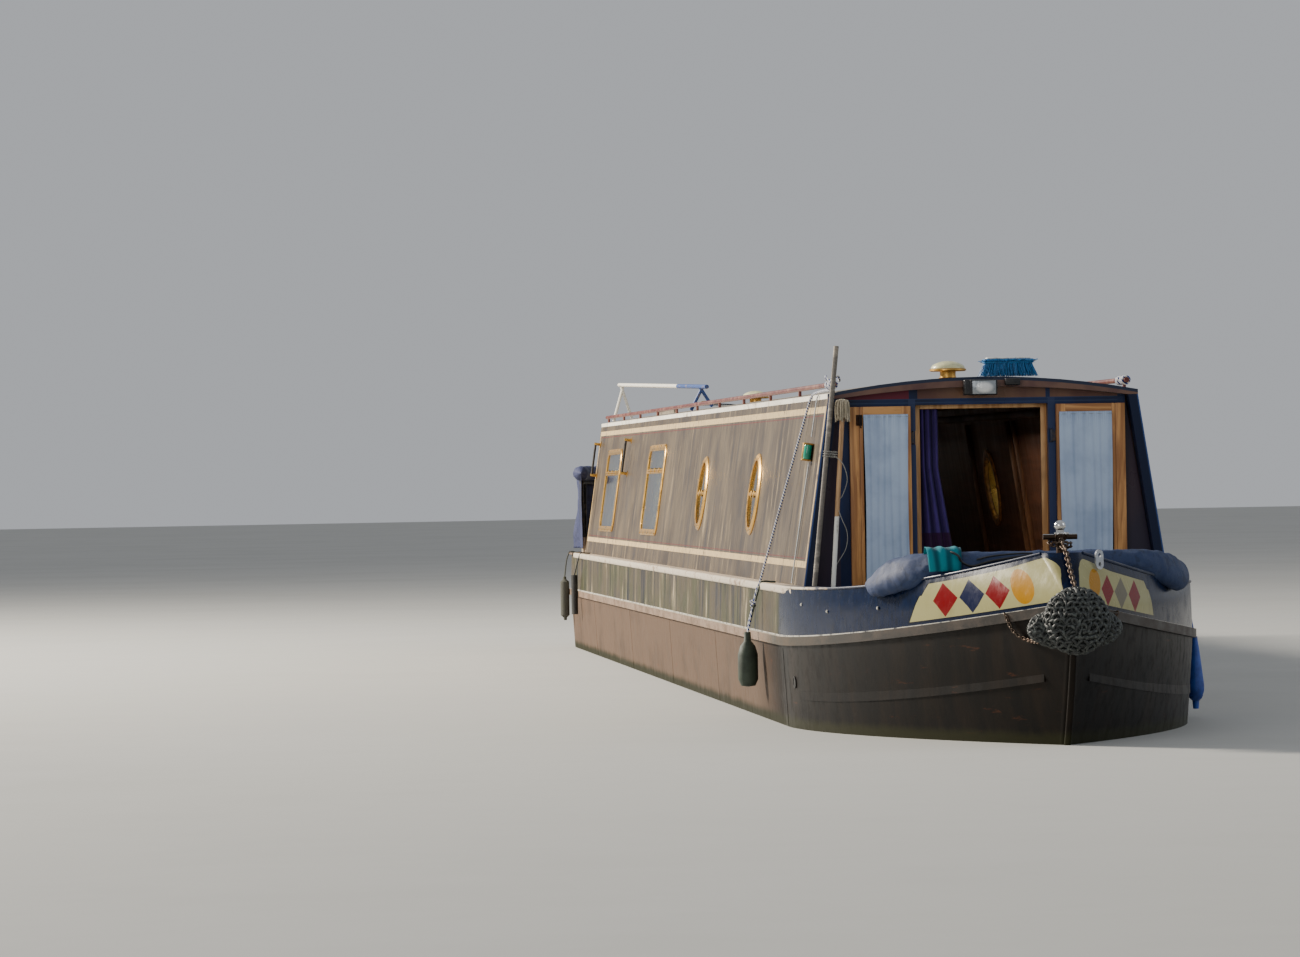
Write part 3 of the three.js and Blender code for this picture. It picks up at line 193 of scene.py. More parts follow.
class Finish:
    """A procedural material, built on the piece's own Object coordinates."""

    def __init__(self, name, **sockets):
        self.material = bpy.data.materials.new(name)
        self.material.use_nodes = True
        self.tree = self.material.node_tree
        self.shader = self.tree.nodes["Principled BSDF"]
        self.coordinates = self.node("TexCoord", result="Object")
        self.set(**sockets)

    def plug(self, value, slot):
        if isinstance(value, Field):
            self.tree.links.new(value.socket, slot)
        else:
            slot.default_value = value

    def node(self, kind, settings=None, inputs=None, result=0):
        """Adds a shader node and returns one of its outputs."""
        node = self.tree.nodes.new("ShaderNode" + kind)
        for key, value in (settings or {}).items():
            setattr(node, key, value)
        for key, value in (inputs or {}).items():
            self.plug(value, node.inputs[key])
        return Field(self, node.outputs[result])

    def set(self, **values):
        for key, value in values.items():
            self.plug(value, self.shader.inputs[key.replace("_", " ").title().replace("Ior", "IOR")])
        return self

    def parts(self, vector):
        """The X, Y and Z of a vector."""
        node = self.node("SeparateXYZ", inputs={0: vector}).socket.node
        return [Field(self, out) for out in node.outputs]

    def axes(self):
        return self.parts(self.coordinates)

    def stations(self):
        """The station, Y and Z."""
        x, y, z = self.axes()
        return STEM_X - x, y, z

    def noise(self, scale, detail=4.0, rough=0.55, stretch=(1, 1, 1), shift=0.0, warp=0.0):
        moved = (shift, shift * 0.7, shift * 1.3)
        vector = self.node("Mapping", inputs={"Vector": self.coordinates, "Scale": stretch, "Location": moved})
        inputs = {"Vector": vector, "Scale": scale, "Detail": detail, "Roughness": rough, "Distortion": warp}
        return self.node("TexNoise", inputs=inputs, result="Fac")

    def marked(self, name):
        """What a piece's own mesh says at each point, 0 where it says nothing."""
        return self.node("Attribute", {"attribute_name": name}, result="Fac")

    def mix(self, share, first, second):
        """The colour first, with second over it by share."""
        return self.node("Mix", {"data_type": "RGBA"}, {0: share, 6: first, 7: second}, 2)

    def layers(self, base, *coats):
        """Colours laid over each other: each coat is its share and its colour."""
        for share, colour in coats:
            base = self.mix(share, base, colour)
        return base

    def colour(self):
        """The colour that the shader has so far."""
        return Field(self, self.shader.inputs["Base Color"].links[0].from_socket)

    def relief(self, height, depth, strength):
        bump = self.node("Bump", inputs={"Distance": depth, "Strength": strength, "Height": height})
        return self.set(normal=bump)

    def done(self, colour, wear, matt, height, depth, strength):
        """Sets the colour, the relief and a roughness that runs between two values with the wear."""
        self.set(base_color=colour, roughness=wear.ramp(0.3, 0.7, *matt))
        return self.relief(height, depth, strength)


RUST = paint(112, 62, 34)
DUST = paint(176, 160, 138)
NAVY = paint(6, 24, 54)
DEEP_NAVY = paint(4, 14, 34)
CREAM = paint(154, 149, 104)
WEED = paint(36, 36, 18)
BLACKING = paint(20, 22, 18)
DISC = paint(160, 112, 0)
LOZENGES = {"red": paint(112, 1, 5), "navy": paint(22, 28, 58), "grey": paint(104, 98, 80)}

# The panel on each bow: its aft edge at the head and the foot, the border above it, its lozenges' height and
# half height, then each lozenge's station, half width and colour, and the disc's place and half sizes.
PORT_PANEL = ((0.787, 0.866), 0.048, (0.120, 0.078),
              ((0.299, 0.064, "red"), (0.445, 0.074, "grey"), (0.605, 0.074, "red")),
              (0.172, 0.055, 0.145, 0.072))
STBD_PANEL = ((0.908, 1.016), 0.030, (0.132, 0.082),
              ((0.747, 0.087, "red"), (0.565, 0.083, "navy"), (0.399, 0.077, "red")),
              (0.243, 0.067, 0.142, 0.088))
PANEL_FOOT = 0.046  # above the strake
PANEL_EDGING = 0.010


def bow_paint(finish, s, y, z, base):
    """The cream panel on each bow, with its lozenges and disc, over the navy."""
    port = y.above(0.0)
    rise = z - strake(s)
    drop = gunwale(s) - z
    # The pattern stands upright as seen from ahead, so it leans back with the stem.
    reach = (s - rake(z)) / (BOW - rake(z)) * BOW
    dirt = finish.noise(9, stretch=(1, 1, 0.5)).ramp(0.45, 0.75, 0.0, 0.35)
    cream = finish.mix(dirt, CREAM, paint(118, 108, 70))
    stem_gap = (0.262 - s).positive()
    for hand, panel in ((port, PORT_PANEL), (1 - port, STBD_PANEL)):
        (head, foot), border, (middle, half), lozenges, (disc_s, disc_width, disc_z, disc_half) = panel
        aft = s - blend(foot, head, (rise - 0.045) / 0.17) + rise.between(0.165, 0.30) * 0.014
        edge = 0.5 * border + 0.5 * border * s.ramp(0.25, 0.45) + stem_gap ** 2 * 3.6 + stem_gap * 0.25
        field = drop.above(edge) * rise.above(PANEL_FOOT) * aft.below(0.0) * hand
        edging = drop.above(edge - PANEL_EDGING) * rise.above(PANEL_FOOT - PANEL_EDGING)
        edging = edging * (aft - PANEL_EDGING).below(0.0) * hand
        base = finish.layers(base, (edging * 0.85, DEEP_NAVY), (field, cream))
        for centre, width, colour in lozenges:
            lozenge = (abs(reach - centre) / width + abs(rise - middle) / half).below(1.0)
            base = finish.mix(lozenge * hand, base, LOZENGES[colour])
        disc = (((reach - disc_s) / disc_width) ** 2 + ((rise - disc_z) / disc_half) ** 2).below(1.0)
        base = finish.mix(disc * hand, base, DISC)
    return base


def hull_paint():
    """Navy topsides over blacking, dusty and streaked aft of the bow, with weed at the waterline; aft of the
    bow the topsides and the blacking carry painted sunlight, and the topsides a painted green reflection too.
    """
    finish = Finish("hull_paint", specular_ior_level=0.12)
    s, y, z = finish.stations()
    streak = finish.noise(7, 5, 0.65, (1, 1, 0.16), 3)
    fine = finish.noise(60, 3, 0.6, (1, 1, 0.3), 7)
    cloud = finish.noise(1.6, 4, 0.6, (1, 1, 1.8), 5)
    worn = finish.noise(18, 4, 0.7, (1, 1, 0.6), 9)
    drip = finish.noise(2.6, 4, 0.6, (1, 1, 0.5), 15).ramp(0.42, 0.62)
    # Aft of the bow the topsides turn from navy to weathered colours with painted sunlight and a painted green
    # reflection in them. The change near station 2.7 also stands for where the bow's shade ends.
    aft_of_bow = (s.ramp(2.3, 3.3) + (fine - 0.5) * 0.5).ramp(0.3, 0.6)
    weathered = aft_of_bow * (streak * 0.6 + cloud * 0.6).ramp(0.42, 0.66, 0.55, 1.0)
    aged_and_sunlit = finish.mix(cloud.ramp(0.4, 0.62), paint(84, 74, 54), paint(66, 66, 44))
    aged_and_sunlit = finish.layers(aged_and_sunlit, (streak.ramp(0.54, 0.70) * drip, paint(200, 184, 152)),
                         ((1 - streak).ramp(0.5, 0.68), paint(30, 28, 21)))
    top = finish.mix(weathered * 0.94, finish.mix(fine.ramp(0.3, 0.8), NAVY, DEEP_NAVY), aged_and_sunlit)
    top = bow_paint(finish, s, y, z, top)
    white_line = (z - strake(s)).between(0.020, 0.029)
    top = finish.mix(white_line * worn.ramp(0.3, 0.55), top, paint(178, 176, 168))
    scuff = finish.noise(5, 6, 0.7, (0.5, 1, 4), 13).ramp(0.62, 0.72)
    tide = (0.020 + 0.05 * streak) - z
    low = finish.mix(streak.ramp(0.4, 0.7), paint(11, 9, 8), paint(26, 19, 13))
    # Aft of the bow the blacking turns pale brown in cloudy patches: painted sunlight.
    low = finish.layers(
        low, (s.ramp(2.6, 4.2, 0.0, 0.9) * cloud.ramp(0.25, 0.55, 0.6, 1.0), paint(98, 80, 66)),
        (scuff * 0.35, RUST), (tide.ramp(-0.03, 0.02), WEED), ((0.0 - z).ramp(0.0, 0.25), BLACKING))
    under = (strake(s) - z).above(0.0)
    # The bands that stand out from the counter, in a pale colour like the strake's aft, which is partly
    # painted sunlight.
    proud = ((s - COUNTER).positive() / COUNTER_LENGTH) ** ROUNDNESS + (abs(y) / side(z)) ** ROUNDNESS
    band = proud.above(1.02) * s.above(16.21)
    bare = finish.mix(worn.ramp(0.35, 0.65), paint(146, 124, 104), paint(88, 70, 56))
    finish.set(base_color=finish.mix(band, finish.mix(under, top, low), bare),
               roughness=under.ramp(0, 1, 0.24, 0.45) + weathered * 0.25 + worn.ramp(0.4, 0.8, -0.05, 0.12))
    return finish.relief(cloud * 0.7 + fine * 0.3, 0.004, 0.25)


def steel(name, colour, worn, rust=0.3, rough=0.5, metallic=0.0):
    """Painted or bare steel with rubbed edges and rust."""
    finish = Finish(name, metallic=metallic)
    patch = finish.noise(9, 6, 0.65, shift=2)
    grain = finish.noise(90, 3, 0.6, shift=4)
    rubbed = finish.noise(4, 6, 0.7, (0.35, 1, 3), 6)
    base = finish.layers(colour, (rubbed.ramp(0.5, 0.66), worn), (patch.ramp(0.66 - 0.2 * rust, 0.8), RUST),
                         (grain.ramp(0.35, 0.75, 0, 0.25), DEEP_NAVY))
    return finish.done(base, patch, (rough - 0.12, rough + 0.15), patch * 0.6 + grain * 0.4, 0.002, 0.4)


def cabin_paint():
    """Sun-worn maroon with streaks of dirt, and a cream coachline with a red one inside it."""
    finish = Finish("cabin_wall", specular_ior_level=0.25)
    s, _, z = finish.stations()
    streak = finish.noise(9, 6, 0.7, (1, 1, 0.1), 21)
    cloud = finish.noise(1.3, 5, 0.6, (1, 1, 1.5), 22)
    grain = finish.noise(70, 3, 0.6, (1, 1, 0.25), 23)
    patchy = finish.noise(25, 5, 0.7, (1, 1, 0.5), 24).ramp(0.34, 0.46)
    base = finish.mix((streak * 0.5 + cloud * 0.5).ramp(0.38, 0.62), paint(52, 41, 32), paint(102, 88, 68))
    base = finish.layers(base, (grain.ramp(0.3, 0.75, 0, 0.5), paint(76, 64, 49)),
                         (streak.ramp(0.58, 0.72, 0, 0.7), paint(180, 160, 124)),
                         ((1 - streak).ramp(0.58, 0.72, 0, 0.5), paint(34, 24, 21)))
    # How far a point lies inside the panel's edge.
    inset = (s - CABIN_FRONT + 0.06).lesser(CABIN_AFT - s + 0.06)
    inset = inset.lesser(eaves(s) - z + 0.056).lesser(z - gunwale(s))
    base = finish.layers(base, (inset.between(0.093, 0.126) * patchy, paint(200, 174, 128)),
                         (inset.between(0.137, 0.143) * patchy * 0.8, paint(96, 26, 18)))
    return finish.done(base, streak, (0.28, 0.5), cloud * 0.6 + grain * 0.4, 0.004, 0.3)


def cabin_wall():
    """One finish for the cabin's side: paint outside, dark panelling within, navy posts at its fore end."""
    finish = cabin_paint()
    s, y, z = finish.stations()
    within = abs(y).below(cabin_half(s, z) - 0.012)
    board = finish.noise(2.2, 5, 0.6, (0.5, 1, 9), 31)
    grain = finish.noise(40, 3, 0.6, (0.08, 1, 1), 32)
    lining = finish.layers(paint(92, 62, 48), (board.ramp(0.4, 0.65, 0, 0.6), paint(120, 80, 60)),
                           (grain.ramp(0.45, 0.7, 0, 0.5), paint(62, 40, 30)))
    end = s.below(CABIN_FRONT + 0.0006).either(within * s.below(CABIN_FRONT + 0.072))
    edge = (abs(y) - cabin_half(s, z) + 0.007).above(0.0)
    blue = finish.mix(edge, paint(14, 26, 54), paint(52, 76, 128))
    return finish.set(base_color=finish.layers(finish.colour(), (within, lining), (end, blue)))


def front_paint():
    """Navy frames, maroon panels above, and the dark lining inside."""
    finish = Finish("bulkhead_paint", specular_ior_level=0.35)
    s, y, z = finish.stations()
    away = abs(y)
    cloud = finish.noise(3, 4, 0.6, (1, 1, 0.5), 41)
    grain = finish.noise(60, 3, 0.6, (1, 1, 0.3), 42)
    navy = finish.mix(cloud.ramp(0.4, 0.7), paint(20, 42, 88), paint(14, 28, 60))
    brown = finish.mix(cloud.ramp(0.35, 0.65), paint(124, 92, 72), paint(96, 64, 56))
    plum = finish.mix(cloud.ramp(0.35, 0.65), paint(62, 46, 58), paint(46, 40, 58))
    gable = z.above(1.652) * away.below(0.700)
    ends = gable * (1 - y.between(-0.372, 0.352))
    low = (1 - z.above(1.628)) * away.above(0.735)
    beading = z.between(1.629, 1.634).either(z.between(1.648, 1.652)) * away.below(0.70)
    edging = away.between(0.340, 0.376) * z.below(1.652)
    # The lighter blue on the edging strips is partly painted sunlight, and the wine colour on the gable's
    # starboard end is partly a painted reflection.
    base = finish.layers(
        navy, (gable * y.between(-0.328, 0.330), brown), (ends * y.above(0.0), brown),
        (ends * y.below(0.0), paint(104, 26, 48)), (low, plum),
        (beading * grain.ramp(0.2, 0.4, 0.4, 0.8), paint(44, 62, 98)),
        (edging * cloud.ramp(0.3, 0.6, 0.35, 0.7), paint(48, 62, 100)),
        (s.above(CABIN_FRONT + 0.1), paint(84, 56, 44)))
    return finish.done(base, cloud, (0.25, 0.4), grain, 0.001, 0.3)


def wood(name, light, dark, stretch=(1, 1, 0.08)):
    """Varnished boards with their grain along the axis that stretch shortens."""
    finish = Finish(name, coat_weight=0.15, coat_roughness=0.3)
    rings = finish.noise(14, 6, 0.6, stretch, 51, 1.2)
    pores = finish.noise(126, 3, 0.6, stretch, 52)
    stain = finish.noise(2.5, 4, 0.6, shift=53)
    base = finish.layers(light, (rings.ramp(0.4, 0.62), dark), (pores.ramp(0.5, 0.7, 0, 0.5), dark),
                         (stain.ramp(0.55, 0.75, 0, 0.5), paint(96, 66, 38)))
    return finish.done(base, stain, (0.37, 0.60), rings * 0.6 + pores * 0.4, 0.0012, 0.45)


def cloth(name, colour, dark_tone_and_fold_shade):
    """Woven cloth, with painted shade down in the folds that its mesh marks."""
    finish = Finish(name, sheen_weight=0.1, sheen_roughness=0.5, specular_ior_level=0.2)
    x, y, z = finish.axes()
    thread = 7000.0
    warp = ((y + x) * thread).sine() * 0.5 + 0.5
    weft = (z * thread).sine() * 0.5 + 0.5
    blotch = finish.noise(5, 4, 0.6, shift=61)
    # The dark colour tints random blotches and the weave, and is painted shade where the mesh marks a fold.
    base = finish.layers(colour, (blotch.ramp(0.4, 0.7, 0, 0.3), dark_tone_and_fold_shade), (warp * weft * 0.2, dark_tone_and_fold_shade),
                         (finish.marked("dark_tone_and_fold_shade") * 0.85, dark_tone_and_fold_shade))
    return finish.done(base, blotch, (0.84, 0.96), warp * 0.5 + weft * 0.5, 0.0006, 0.5)


def canvas(name, colour, worn):
    """Proofed canvas, creased, with painted shade in its creases and marked folds, and pale where it has
    chafed.
    """
    finish = Finish(name, specular_ior_level=0.3)
    crease = finish.noise(14, 6, 0.65, (1, 1, 1), 71, 1.5)
    chafe = finish.noise(5, 5, 0.7, shift=72)
    weave = finish.noise(700, 2, 0.5, shift=73)
    # Deep navy in the creases' hollows and in the marked folds is painted shade.
    base = finish.layers(
        colour, (chafe.ramp(0.56, 0.76, 0, 0.55), worn), (crease.ramp(0.35, 0.5, 0.5, 0.0), DEEP_NAVY),
        (finish.marked("dark_tone_and_fold_shade") * 0.7, DEEP_NAVY), (weave.ramp(0.3, 0.7, 0, 0.25), worn))
    return finish.done(base, chafe, (0.5, 0.75), crease * 0.8 + weave * 0.2, 0.008, 0.6)


def metal(name, colour, rough=0.22, tarnish=paint(90, 70, 40), amount=0.4):
    finish = Finish(name, metallic=1.0)
    dull = finish.noise(22, 5, 0.65, shift=81)
    fine = finish.noise(140, 3, 0.6, shift=82)
    base = finish.layers(colour, (dull.ramp(0.45, 0.7, 0, amount), tarnish),
                         (fine.ramp(0.5, 0.8, 0, 0.3), paint(60, 48, 32)))
    return finish.done(base, dull, (rough, rough + 0.2), fine, 0.0005, 0.3)


def rope_finish(name, strand, groove_shade_and_fibre_tone, twist=1400.0):
    """Laid rope, with paler strands and painted shade in the grooves between them."""
    finish = Finish(name, specular_ior_level=0.3)
    x, y, z = finish.axes()
    lay = ((x + y * 0.8 + z) * twist).sine() * 0.5 + 0.5
    fibre = finish.noise(320, 3, 0.7, shift=91)
    mould = finish.noise(11, 4, 0.6, shift=92)
    # The dark colour is painted shade in the lay's grooves, and also darker fibres at random.
    base = finish.layers(
        strand, (lay.ramp(0.2, 0.6, 0.85, 0.0), groove_shade_and_fibre_tone), (fibre.ramp(0.4, 0.7, 0, 0.4), groove_shade_and_fibre_tone),
        (mould.ramp(0.5, 0.7, 0, 0.4), paint(84, 86, 60)))
    return finish.done(base, fibre, (0.75, 0.95), lay * 0.7 + fibre * 0.3, 0.002, 0.8)


def striped_rope():
    """White rope with a blue strand."""
    finish = Finish("striped_rope", specular_ior_level=0.3)
    x, y, z = finish.axes()
    lay = ((x * 1.2 + y * 0.9 + z) * 240).sine()
    fibre = finish.noise(400, 3, 0.7, shift=161)
    grime = finish.noise(13, 4, 0.7, shift=162)
    base = finish.layers(paint(216, 216, 210), (lay.ramp(0.1, 0.25), paint(34, 56, 128)),
                         (fibre.ramp(0.45, 0.7, 0, 0.4), paint(120, 120, 116)),
                         (grime.ramp(0.55, 0.7, 0, 0.4), paint(110, 98, 80)))
    return finish.done(base, fibre, (0.7, 0.9), fibre, 0.001, 0.6)


def plain(name, colour, shade, rough=0.45, scale=30.0, coat=0.0):
    """Paint, plastic or rubber: a colour with a mottled shade and a fine skin."""
    finish = Finish(name, coat_weight=coat)
    mottle = finish.noise(scale, 5, 0.65, shift=101)
    skin = finish.noise(scale * 9, 3, 0.6, shift=102)
    base = finish.layers(
        colour, (mottle.ramp(0.42, 0.7, 0, 0.7), shade), (skin.ramp(0.5, 0.75, 0, 0.3), shade))
    return finish.done(base, mottle, (max(rough - 0.1, 0.03), min(rough + 0.1, 1)), skin, 0.0008, 0.35)


def glass(name, tint_colour):
    finish = Finish(name, transmission_weight=1.0, ior=1.2)
    smear = finish.noise(9, 4, 0.6, (1, 1, 0.4), 111).ramp(0.4, 0.7)
    colour = finish.mix(smear, tint_colour, paint(190, 200, 196))
    return finish.set(base_color=colour, roughness=smear * 0.1 + 0.04)


def roof_paint():
    """Grey-cream roof, its edges white, mossy towards the gutters, with a navy lip and a lined underside."""
    finish = Finish("roof_paint", coat_weight=0.1, coat_roughness=0.3)
    s, y, z = finish.stations()
    cloud = finish.noise(2.2, 5, 0.65, shift=121)
    grit = finish.noise(130, 3, 0.7, shift=122)
    stain = finish.noise(7, 5, 0.7, (0.4, 1, 1), 123)
    half = cabin_half(s, eaves(s))
    depth = roof_top(s, y) - z
    under = (z - eaves(s) - 0.001 - 0.05 * (1 - (y / (half - 0.055)) ** 2)).below(0.004)
    top = finish.mix(cloud.ramp(0.35, 0.65), paint(150, 138, 118), paint(112, 102, 88))
    white = finish.mix(stain.ramp(0.5, 0.72), paint(232, 226, 212), paint(150, 136, 112))
    gable = finish.mix(cloud.ramp(0.4, 0.6), paint(108, 78, 64), paint(84, 54, 50))
    base = finish.layers(
        top, (stain.ramp(0.5, 0.7, 0, 0.7), paint(86, 82, 66)), (grit.ramp(0.5, 0.8, 0, 0.3), DUST),
        ((abs(y) - half + 0.045).above(0.0), white), (s.below(CABIN_FRONT + 0.03), NAVY),
        (s.below(CABIN_FRONT + 0.002) * depth.above(0.017), gable),
        (under * abs(y).below(0.74) * s.above(CABIN_FRONT + 0.12), paint(58, 42, 34)))
    return finish.done(base, cloud, (0.35, 0.6), grit * 0.6 + cloud * 0.4, 0.002, 0.35)


def pole_paint():
    """White aft, blue forward, scratched by use."""
    finish = Finish("pole_paint")
    s = finish.stations()[0]
    worn = finish.noise(30, 5, 0.7, (0.15, 1, 1), 131)
    base = finish.mix(s.below(11.5), paint(222, 218, 206), paint(38, 70, 130))
    base = finish.mix(worn.ramp(0.55, 0.7), base, paint(128, 110, 84))
    return finish.done(base, worn, (0.4, 0.6), worn, 0.0008, 0.4)


def strake_paint():
    """Brown strake steel, darker towards the bow, pale aft and on its upward faces with painted sunlight."""
    finish = Finish("strake_steel", specular_ior_level=0.4)
    s = finish.stations()[0]
    rust = finish.noise(8, 6, 0.7, (0.4, 1, 1), 141)
    grain = finish.noise(80, 3, 0.6, shift=142)
    # Faces that look up are paler in patches: a painted highlight of sunlight on the strake's top.
    up = finish.parts(finish.node("NewGeometry", result="True Normal"))[2].above(0.7)
    # Darker towards the bow; the pale colour aft of the bow is partly painted sunlight over the brown steel.
    darker_at_bow = finish.mix(s.ramp(1.4, 2.6), paint(30, 25, 21), paint(46, 40, 22))
    base = finish.layers(
        darker_at_bow, (s.ramp(2.7, 3.6), paint(146, 120, 98)),
        (rust.ramp(0.4, 0.62, 0, 0.7) * s.ramp(1.8, 3.4, 0.35, 1.0), paint(92, 70, 50)),
        (grain.ramp(0.4, 0.75, 0, 0.5), paint(24, 20, 17)),
        (up * rust.ramp(0.3, 0.55, 0.4, 1.0), paint(206, 196, 178)))
    return finish.done(base, rust, (0.35, 0.6), rust * 0.6 + grain * 0.4, 0.002, 0.5)


def edge_paint():
    """Navy at the bow, pale along the sides, where the pale is painted sunlight on the guard."""
    finish = Finish("edge_paint", specular_ior_level=0.4)
    s = finish.stations()[0]
    worn = finish.noise(16, 5, 0.7, (0.4, 1, 1), 191)
    bare = finish.mix(worn.ramp(0.5, 0.7), paint(204, 192, 172), paint(140, 116, 94))
    # The pale along the sides is painted sunlight; the noise only breaks up its edge with the navy and varies
    # its tone.
    base = finish.mix((s.ramp(1.2, 3.4, -0.25, 0.75) + worn).ramp(0.5, 0.62), NAVY, bare)
    return finish.done(base, worn, (0.3, 0.5), worn, 0.001, 0.4)


def deck_paint():
    """Navy deck paint with grit in it, pale aft of the bow with painted sunlight, worn through where it is
    trodden, and the dark rail above it.
    """
    finish = Finish("deck_paint")
    s, _, z = finish.stations()
    grit = finish.noise(420, 2, 0.6, shift=151)
    tread = finish.noise(3, 5, 0.65, shift=152)
    chips = finish.noise(24, 5, 0.7, shift=153)
    rail = z.above(0.86)
    # Aft of the bow the decks turn pale: painted sunlight.
    top = finish.mix(s.ramp(2.3, 3.2), paint(30, 44, 72), paint(190, 172, 150))
    base = finish.layers(
        top, (tread.ramp(0.45, 0.7, 0, 0.6), paint(116, 112, 104)), (chips.ramp(0.62, 0.72), RUST),
        (grit.ramp(0.5, 0.8, 0, 0.35), DEEP_NAVY),
        (rail, finish.mix(chips.ramp(0.5, 0.7), paint(30, 30, 32), paint(96, 88, 78))))
    return finish.done(base, tread, (0.5, 0.75), grit * (1 - rail), 0.0025, 0.5)


def lens_glass():
    """Fluted glass over a reflector, with a painted highlight for the reflector's glint."""
    finish = Finish("headlamp_lens", metallic=0.55, coat_weight=1.0, coat_roughness=0.03)
    _, y, z = finish.axes()
    flute = (y * 900).sine() * 0.5 + 0.5
    spot = (1 - (((y + 0.005) / 0.055) ** 2 + ((z - 1.703) / 0.034) ** 2)).positive()
    # The bright spot in the lens's middle is a painted highlight, and the dark stripes along the flutes are
    # painted shade.
    base = finish.layers(paint(146, 152, 156), (spot.ramp(0.1, 0.9), paint(248, 248, 244)),
                         (flute * 0.25, paint(110, 116, 120)))
    finish.set(base_color=base, roughness=flute.ramp(0, 1, 0.15, 0.35))
    return finish.relief(flute, 0.001, 0.5)


def mop_paint():
    """Bare wood above, white paint below."""
    finish = Finish("mop_staff")
    z = finish.axes()[2]
    grain = finish.noise(60, 5, 0.6, (1, 1, 0.06), 171)
    worn = finish.noise(40, 4, 0.7, (1, 1, 0.2), 172)
    bare = finish.mix(grain.ramp(0.4, 0.65), paint(196, 156, 112), paint(132, 98, 66))
    white = finish.mix(worn.ramp(0.55, 0.7), paint(232, 230, 222), paint(160, 150, 132))
    base = finish.mix((z + worn * 0.02).below(1.074), bare, white)
    return finish.done(base, grain, (0.45, 0.65), grain, 0.0006, 0.4)


def rudder_paint():
    """Polished tiller and stock above the deck, a wooden grip, and blacked steel below."""
    finish = Finish("rudder_steel")
    s, _, z = finish.stations()
    dull = finish.noise(18, 5, 0.65, shift=181)
    grain = finish.noise(30, 5, 0.6, (0.08, 1, 1), 182)
    above = z.above(DECK_LINE)
    grip = z.above(1.68) * s.below(16.97 - 0.425)
    polished = finish.mix(dull.ramp(0.45, 0.7, 0, 0.5), paint(206, 204, 198), paint(128, 118, 104))
    black = finish.mix(dull.ramp(0.42, 0.62), paint(30, 28, 26), RUST)
    handle = finish.mix(grain.ramp(0.4, 0.65), paint(150, 92, 50), paint(96, 56, 30))
    finish.set(base_color=finish.layers(black, (above, polished), (grip, handle)), metallic=above * (1 - grip),
               roughness=dull.ramp(0.3, 0.7, 0.2, 0.4) + (1 - above) * 0.35)
    return finish.relief(dull, 0.001, 0.3)


def chrome():
    """Polished fittings, on an iron foot."""
    finish = metal("chrome", paint(214, 214, 212), 0.10, paint(120, 112, 100), 0.3)
    iron = finish.axes()[2].below(gunwale(0.33) + 0.106)
    colour = finish.mix(iron, finish.colour(), paint(66, 54, 46))
    return finish.set(base_color=colour, roughness=iron * 0.4 + 0.1)


def drape_cloth():
    """Purple cloth, darker over its lower part."""
    finish = cloth("purple_cloth", paint(76, 58, 128), paint(26, 18, 54))
    _, y, z = finish.axes()
    lower_dark_part = z.below(0.97) * y.below(-0.12)
    return finish.set(base_color=finish.mix(lower_dark_part, finish.colour(), paint(52, 24, 62)))


# Modelling tools


def deselect():
    if bpy.context.mode != "OBJECT":
        bpy.ops.object.mode_set(mode="OBJECT")
    bpy.ops.object.select_all(action="DESELECT")


def pick(*objects):
    deselect()
    for obj in objects:
        obj.select_set(True)
    bpy.context.view_layer.objects.active = objects[0]


def modify(obj, kind, **values):
    """Adds one modifier and applies it."""
    pick(obj)
    bpy.ops.object.modifier_add(type=kind)
    modifier = obj.modifiers[-1]
    for key, value in values.items():
        setattr(modifier, key, value)
    bpy.ops.object.modifier_apply(modifier=modifier.name)
    return obj


def settled():
    """The active object with its place in its mesh."""
    obj = bpy.context.active_object
    pick(obj)
    bpy.ops.object.transform_apply(location=True, rotation=True, scale=True)
    return obj


def tidied(obj, doubles=1e-5, outwards=True, capped=False):
    """Merges doubles, closes an open tube's ends if capped, and turns the faces outwards."""
    pick(obj)
    bpy.ops.object.mode_set(mode="EDIT")
    bpy.ops.mesh.select_all(action="SELECT")
    bpy.ops.mesh.remove_doubles(threshold=doubles)
    if capped:
        bpy.ops.mesh.select_all(action="DESELECT")
        bpy.ops.mesh.select_non_manifold()
        bpy.ops.mesh.fill_holes(sides=0)
        bpy.ops.mesh.select_all(action="SELECT")
    if outwards:
        bpy.ops.mesh.normals_make_consistent(inside=False)
    bpy.ops.object.mode_set(mode="OBJECT")
    return obj


def smooth(obj, degrees):
    pick(obj)
    bpy.ops.object.shade_smooth_by_angle(angle=math.radians(degrees))
    return obj


def shaped(obj, place):
    """Moves each vertex of a primitive to place(its position)."""
    for vertex in obj.data.vertices:
        vertex.co = place(vertex.co)
    obj.data.update()
    return obj


def joined(*objects):
    pick(*objects)
    bpy.ops.object.join()
    return objects[0]


def copied(obj, matrix):
    """A copy with its own mesh, moved by matrix."""
    copy = obj.copy()
    copy.data = obj.data.copy()
    copy.data.transform(matrix)
    if matrix.determinant() < 0:
        copy.data.flip_normals()
    bpy.context.collection.objects.link(copy)
    return copy


def discard(*objects):
    for obj in objects:
        bpy.data.objects.remove(obj)


def moved(obj, matrix):
    """The piece itself, moved by matrix."""
    copy = copied(obj, matrix)
    discard(obj)
    return copy


def both(obj):
    """A piece and its likeness on the other hand, as one."""
    return joined(obj, copied(obj, Matrix.Diagonal((1, -1, 1, 1))))


def finished(obj, name, material, body="root", replaces=(), degrees=40):
    """Names a piece, gives it its finish and sets it on a body."""
    if degrees:
        smooth(obj, degrees)
    obj.name = name
    obj.data.name = name
    obj.data.materials.clear()
    obj.data.materials.append(material.material)
    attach(obj, body)
    if replaces:
        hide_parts(*replaces)
    return obj


